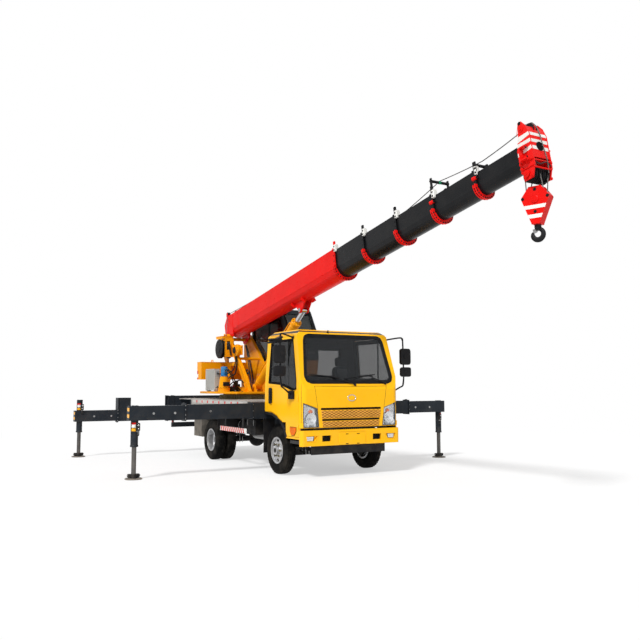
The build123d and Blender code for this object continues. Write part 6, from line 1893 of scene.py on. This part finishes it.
def make_operator_cab():
    cab = Piece("operator_cab_trim")
    make_operator_outside(cab)
    make_operator_inside(cab)
    cab.done("superstructure", "dark_plastic")
    cushion = (462, 868, 2776, 3262, 1590, 1792)
    back = (462, 868, 3168, 3344, 1740, 2476)
    make_padded("operator_seat_cushion", "superstructure", cushion, 0.34, channels=4, inset=seat_light)
    make_padded("operator_seat_back", "superstructure", back, 0.30, channels=4, inset=seat_light)


def make_operator_door():
    """Seals, handle and grab bar of the operator's door."""
    door = Piece("operator_door_trim")
    pane_seal(door, DOOR_PANE, OPERATOR_SIDE_X, 1)
    pane_seal(door, DOOR_LOW_PANE, OPERATOR_SIDE_X, 1)
    door.box(1018, 1046, 2280, 2420, 1975, 2005, plastic, 8)
    door.box(1018, 1032, 2270, 2430, 1966, 2012, plastic, 4)
    bar = [(1024, 2250, 2120), (1046, 2250, 2140), (1046, 2250, 2420), (1024, 2250, 2440)]
    door.tube(bar, 9, plastic, 10, 6)
    door.done("operator_door", "dark_plastic")


def make_winch():
    """Two layers of rope on the drum, and the ribbed flanges at its ends."""
    winch = Piece("winch_rope")
    axis, pitch = (1, 0, 0), 12.2
    for first_x, turns, layer_r in ((-436, 13, 157), (-430, 12, 168)):
        for i in range(turns):
            winch.hoop((first_x + i * pitch, WINCH_Y, WINCH_Z), axis, layer_r, 6.4, wire, 6, 44)
    for x in (-459, -263):
        winch.hoop((x, WINCH_Y, WINCH_Z), axis, 198, 5, frame_black, 8, 56)
        winch.hoop((x, WINCH_Y, WINCH_Z), axis, 96, 3, frame_black, 8, 40)
        for t in spaced(12):
            c, s = cos(t), sin(t)
            ends = [(x, WINCH_Y + r * c, WINCH_Z + r * s) for r in (96, 194)]
            winch.rod(*ends, 4, frame_black, 8)
    winch.done("winch", "black_frame")


make_turret_details()
make_drives()
make_cooler()
make_hoses()
make_weight_details()
make_operator_cab()
make_operator_door()
make_winch()

# Outriggers

UP, DOWN = (0, 0, 1), (0, 0, -1)
STAGE_HALF_W, STAGE_HALF_H = 75, 112


def make_jack_sign(two, y, low):
    """Red, white and yellow bands round the jack's housing, on its outer side."""
    for z0, z1, colour in ((low + 104, low + 134, sign_red), (low + 56, low + 104, white),
                           (low, low + 44, sign_yellow)):
        for out in (-1, 1):
            turns = [lerp(-0.15, 1.1, i / 8) for i in range(9)]
            outer = [(JACK_X + 59.6 * sin(t), y + out * 59.6 * cos(t)) for t in turns]
            inner = [(JACK_X + 57 * sin(t), y + out * 57 * cos(t)) for t in reversed(turns)]
            two.prism(outer + inner, "z", z0, z1, colour)


def make_jack_valve(two, y, z):
    """Valve block on the jack's housing with its ports and two hoses."""
    two.box(3069, 3128, y - 112, y - 54, z - 60, z + 60, frame_black, 7)
    for dz, r in ((26, 15), (-28, 12)):
        two.turned((3098, y - 111, z + dz), (0, -1, 0), [(0, r), (14, r), (18, r - 5)], steel, 16)
    for x in (3086, 3108):
        line = [(x, y - 86, z - 56), (x, y - 94, z - 90), (x, y - 88, z - 126), (x, y - 54, z - 140)]
        two.tube(line, 8, hose, 10, 6)
        two.turned((x, y - 86, z - 58), DOWN, [(0, 12), (14, 12), (18, 9)], steel, 14)


def make_second_stage(name, sign, y, z, tall):
    """End plate, yellow marks, collars, sign, valve and pin bosses of the second stage."""
    two = Piece("outrigger_trim_" + name, side=sign)
    end, half_w, half_h = STAGE_END_X, STAGE_HALF_W, STAGE_HALF_H
    two.box(end - 2, end + 6, y - half_w, y + half_w, z - half_h, z + half_h, anthracite, 4)
    for dz in (-44, 58):
        two.box(end + 4, end + 9, y - half_w + 6, y + half_w - 34, z + dz - 28, z + dz + 28, sign_yellow, 2)
    top = max(1154 if tall else 0, z + half_h)
    two.turned((JACK_X, y, 500), UP, [(0, 54), (4, 63), (24, 63), (28, 60)], anthracite, 36)
    two.turned((JACK_X, y, top - 2), UP, [(0, 60), (5, 60), (9, 54)], anthracite, 36)
    two.bolt_circle((JACK_X, y, top + 6), UP, 44, 4, 8, steel, 0.5)
    low = {0: 744, 1: z + half_h + 14, -1: z - half_h - 172}[tall]
    make_jack_sign(two, y, low)
    make_jack_valve(two, y, {0: 812, 1: low + 60, -1: low + 40}[tall])
    for x in (2500, 2850):
        for out in (-1, 1):
            boss = [(0, 19), (2, 19), (2, 14), (-1, 13)]
            two.turned((x, y + out * (half_w + 1), z - 8), (0, out, 0), boss, steel, 24)
    for out in (-1, 1):
        edge = y + out * half_w
        two.box(2380, 3180, edge - 1, edge + 1, z - 58, z - 52, anthracite, 0.4)
    two.done("outrigger_two_" + name, "anthracite_paint")


def make_first_stage(name, sign, y, z, box_end, flange_x, tall):
    """Flange bolts, seams, pin bosses and stop of the first stage."""
    one = Piece("outrigger_flange_trim_" + name, side=sign)
    half_h = 123
    for out in (-1, 1):
        for share in (-0.35, 0.35, -0.85, 0.85):
            one.bolt((flange_x + 12, y + out * 98, z + half_h * share), (1, 0, 0), 8, steel)
        edge = y + out * 86
        one.box(flange_x - 30, box_end + 60, edge - 1, edge + 1, z - 70, z - 64, anthracite, 0.4)
        one.turned((flange_x - 420, edge, z + 10), (0, out, 0), [(-1, 16), (2, 16), (2, 11), (0, 9)],
                   steel, 20)
    way = -1 if tall > 0 else 1
    one.box(flange_x - 1, flange_x + 11, y - 40, y + 40, z + way * half_h, z + way * 152, anthracite, 3)
    one.done("outrigger_one_" + name, "anthracite_paint")


def make_foot(name, sign, y):
    """Foot plate with its socket, pin and drain plugs."""
    foot = Piece("jack_foot_" + name, side=sign)
    foot.turned((JACK_X, y, 0), UP, [(0, 132), (6, 135), (14, 135), (18, 128), (18, 62)], foot_grey, 48)
    foot.turned((JACK_X, y, 14), UP, [(0, 62), (44, 56), (60, 60), (68, 56)], frame_black, 32)
    for out in (-1, 1):
        foot.box(JACK_X + out * 42, JACK_X + out * 92, y - 34, y + 34, 30, 84, frame_black, 8)
        foot.rod((JACK_X + out * 90, y, 58), (JACK_X + out * 104, y, 58), 12, steel, 14)
    for t in spaced(6, 0.5):
        x0, y0 = JACK_X + 100 * cos(t), y + 100 * sin(t)
        foot.box(x0 - 10, x0 + 10, y0 - 10, y0 + 10, 14, 24, jack_steel, 3)
    foot.done("jack_" + name, "steel")


def make_box_details():
    """Bolts, seams and ribs of the outrigger boxes, and the rear one's cover with its valves and hoses."""
    boxes = Piece("outrigger_box_trim")
    half_w, half_h = 99, 136
    for _, sign, y, z, box_end, _, tall in OUTRIGGERS:
        if tall:
            continue
        for out in (-1, 1):
            for share in (-0.8, 0, 0.8):
                boxes.bolt((sign * box_end, y + out * 106, z + share * half_h), (-sign, 0, 0), 7, steel)
            edge = y + out * half_w
            boxes.box(140 - box_end, box_end - 20, edge - 2, edge + 2, z - half_h + 8, z - half_h + 18,
                      anthracite, 1)
    for _ in boxes.both():
        for y in (REAR_BOX_Y - half_w, REAR_BOX_Y + half_w):
            for x in (300, 700, 1000):
                boxes.box(x - 7, x + 7, y - 3, y + 3, 710, 1205, anthracite, 2)
    cover_y = 4790
    boxes.box(-420, 420, cover_y - 34, cover_y, 880, 1120, anthracite, 8)
    for i in range(6):
        x = -300 + i * 120
        boxes.rod((x, cover_y, 1090), (x, cover_y + 22, 1170), 7, plastic, 10)
        knob = [(0, 9), (10, 15), (26, 15), (34, 8)]
        boxes.turned((x, cover_y + 21, 1166), (0, 0.25, 1), knob, plastic, 16)
    for i in range(6):
        x = -300 + i * 120
        line = [(x, 4775, 885), (x, 4790, 800), (-285 + i * 110, 4787, 700), (-230 + i * 80, 4700, 650),
                (-200 + i * 70, 4600, 650)]
        boxes.tube(line, 9, hose, 10, 6)
    boxes.done("chassis", "anthracite_paint")


for name, sign, y, z, box_end, flange_x, tall in OUTRIGGERS:
    make_second_stage(name, sign, y, z, tall)
    make_first_stage(name, sign, y, z, box_end, flange_x, tall)
    make_foot(name, sign, y)
make_box_details()
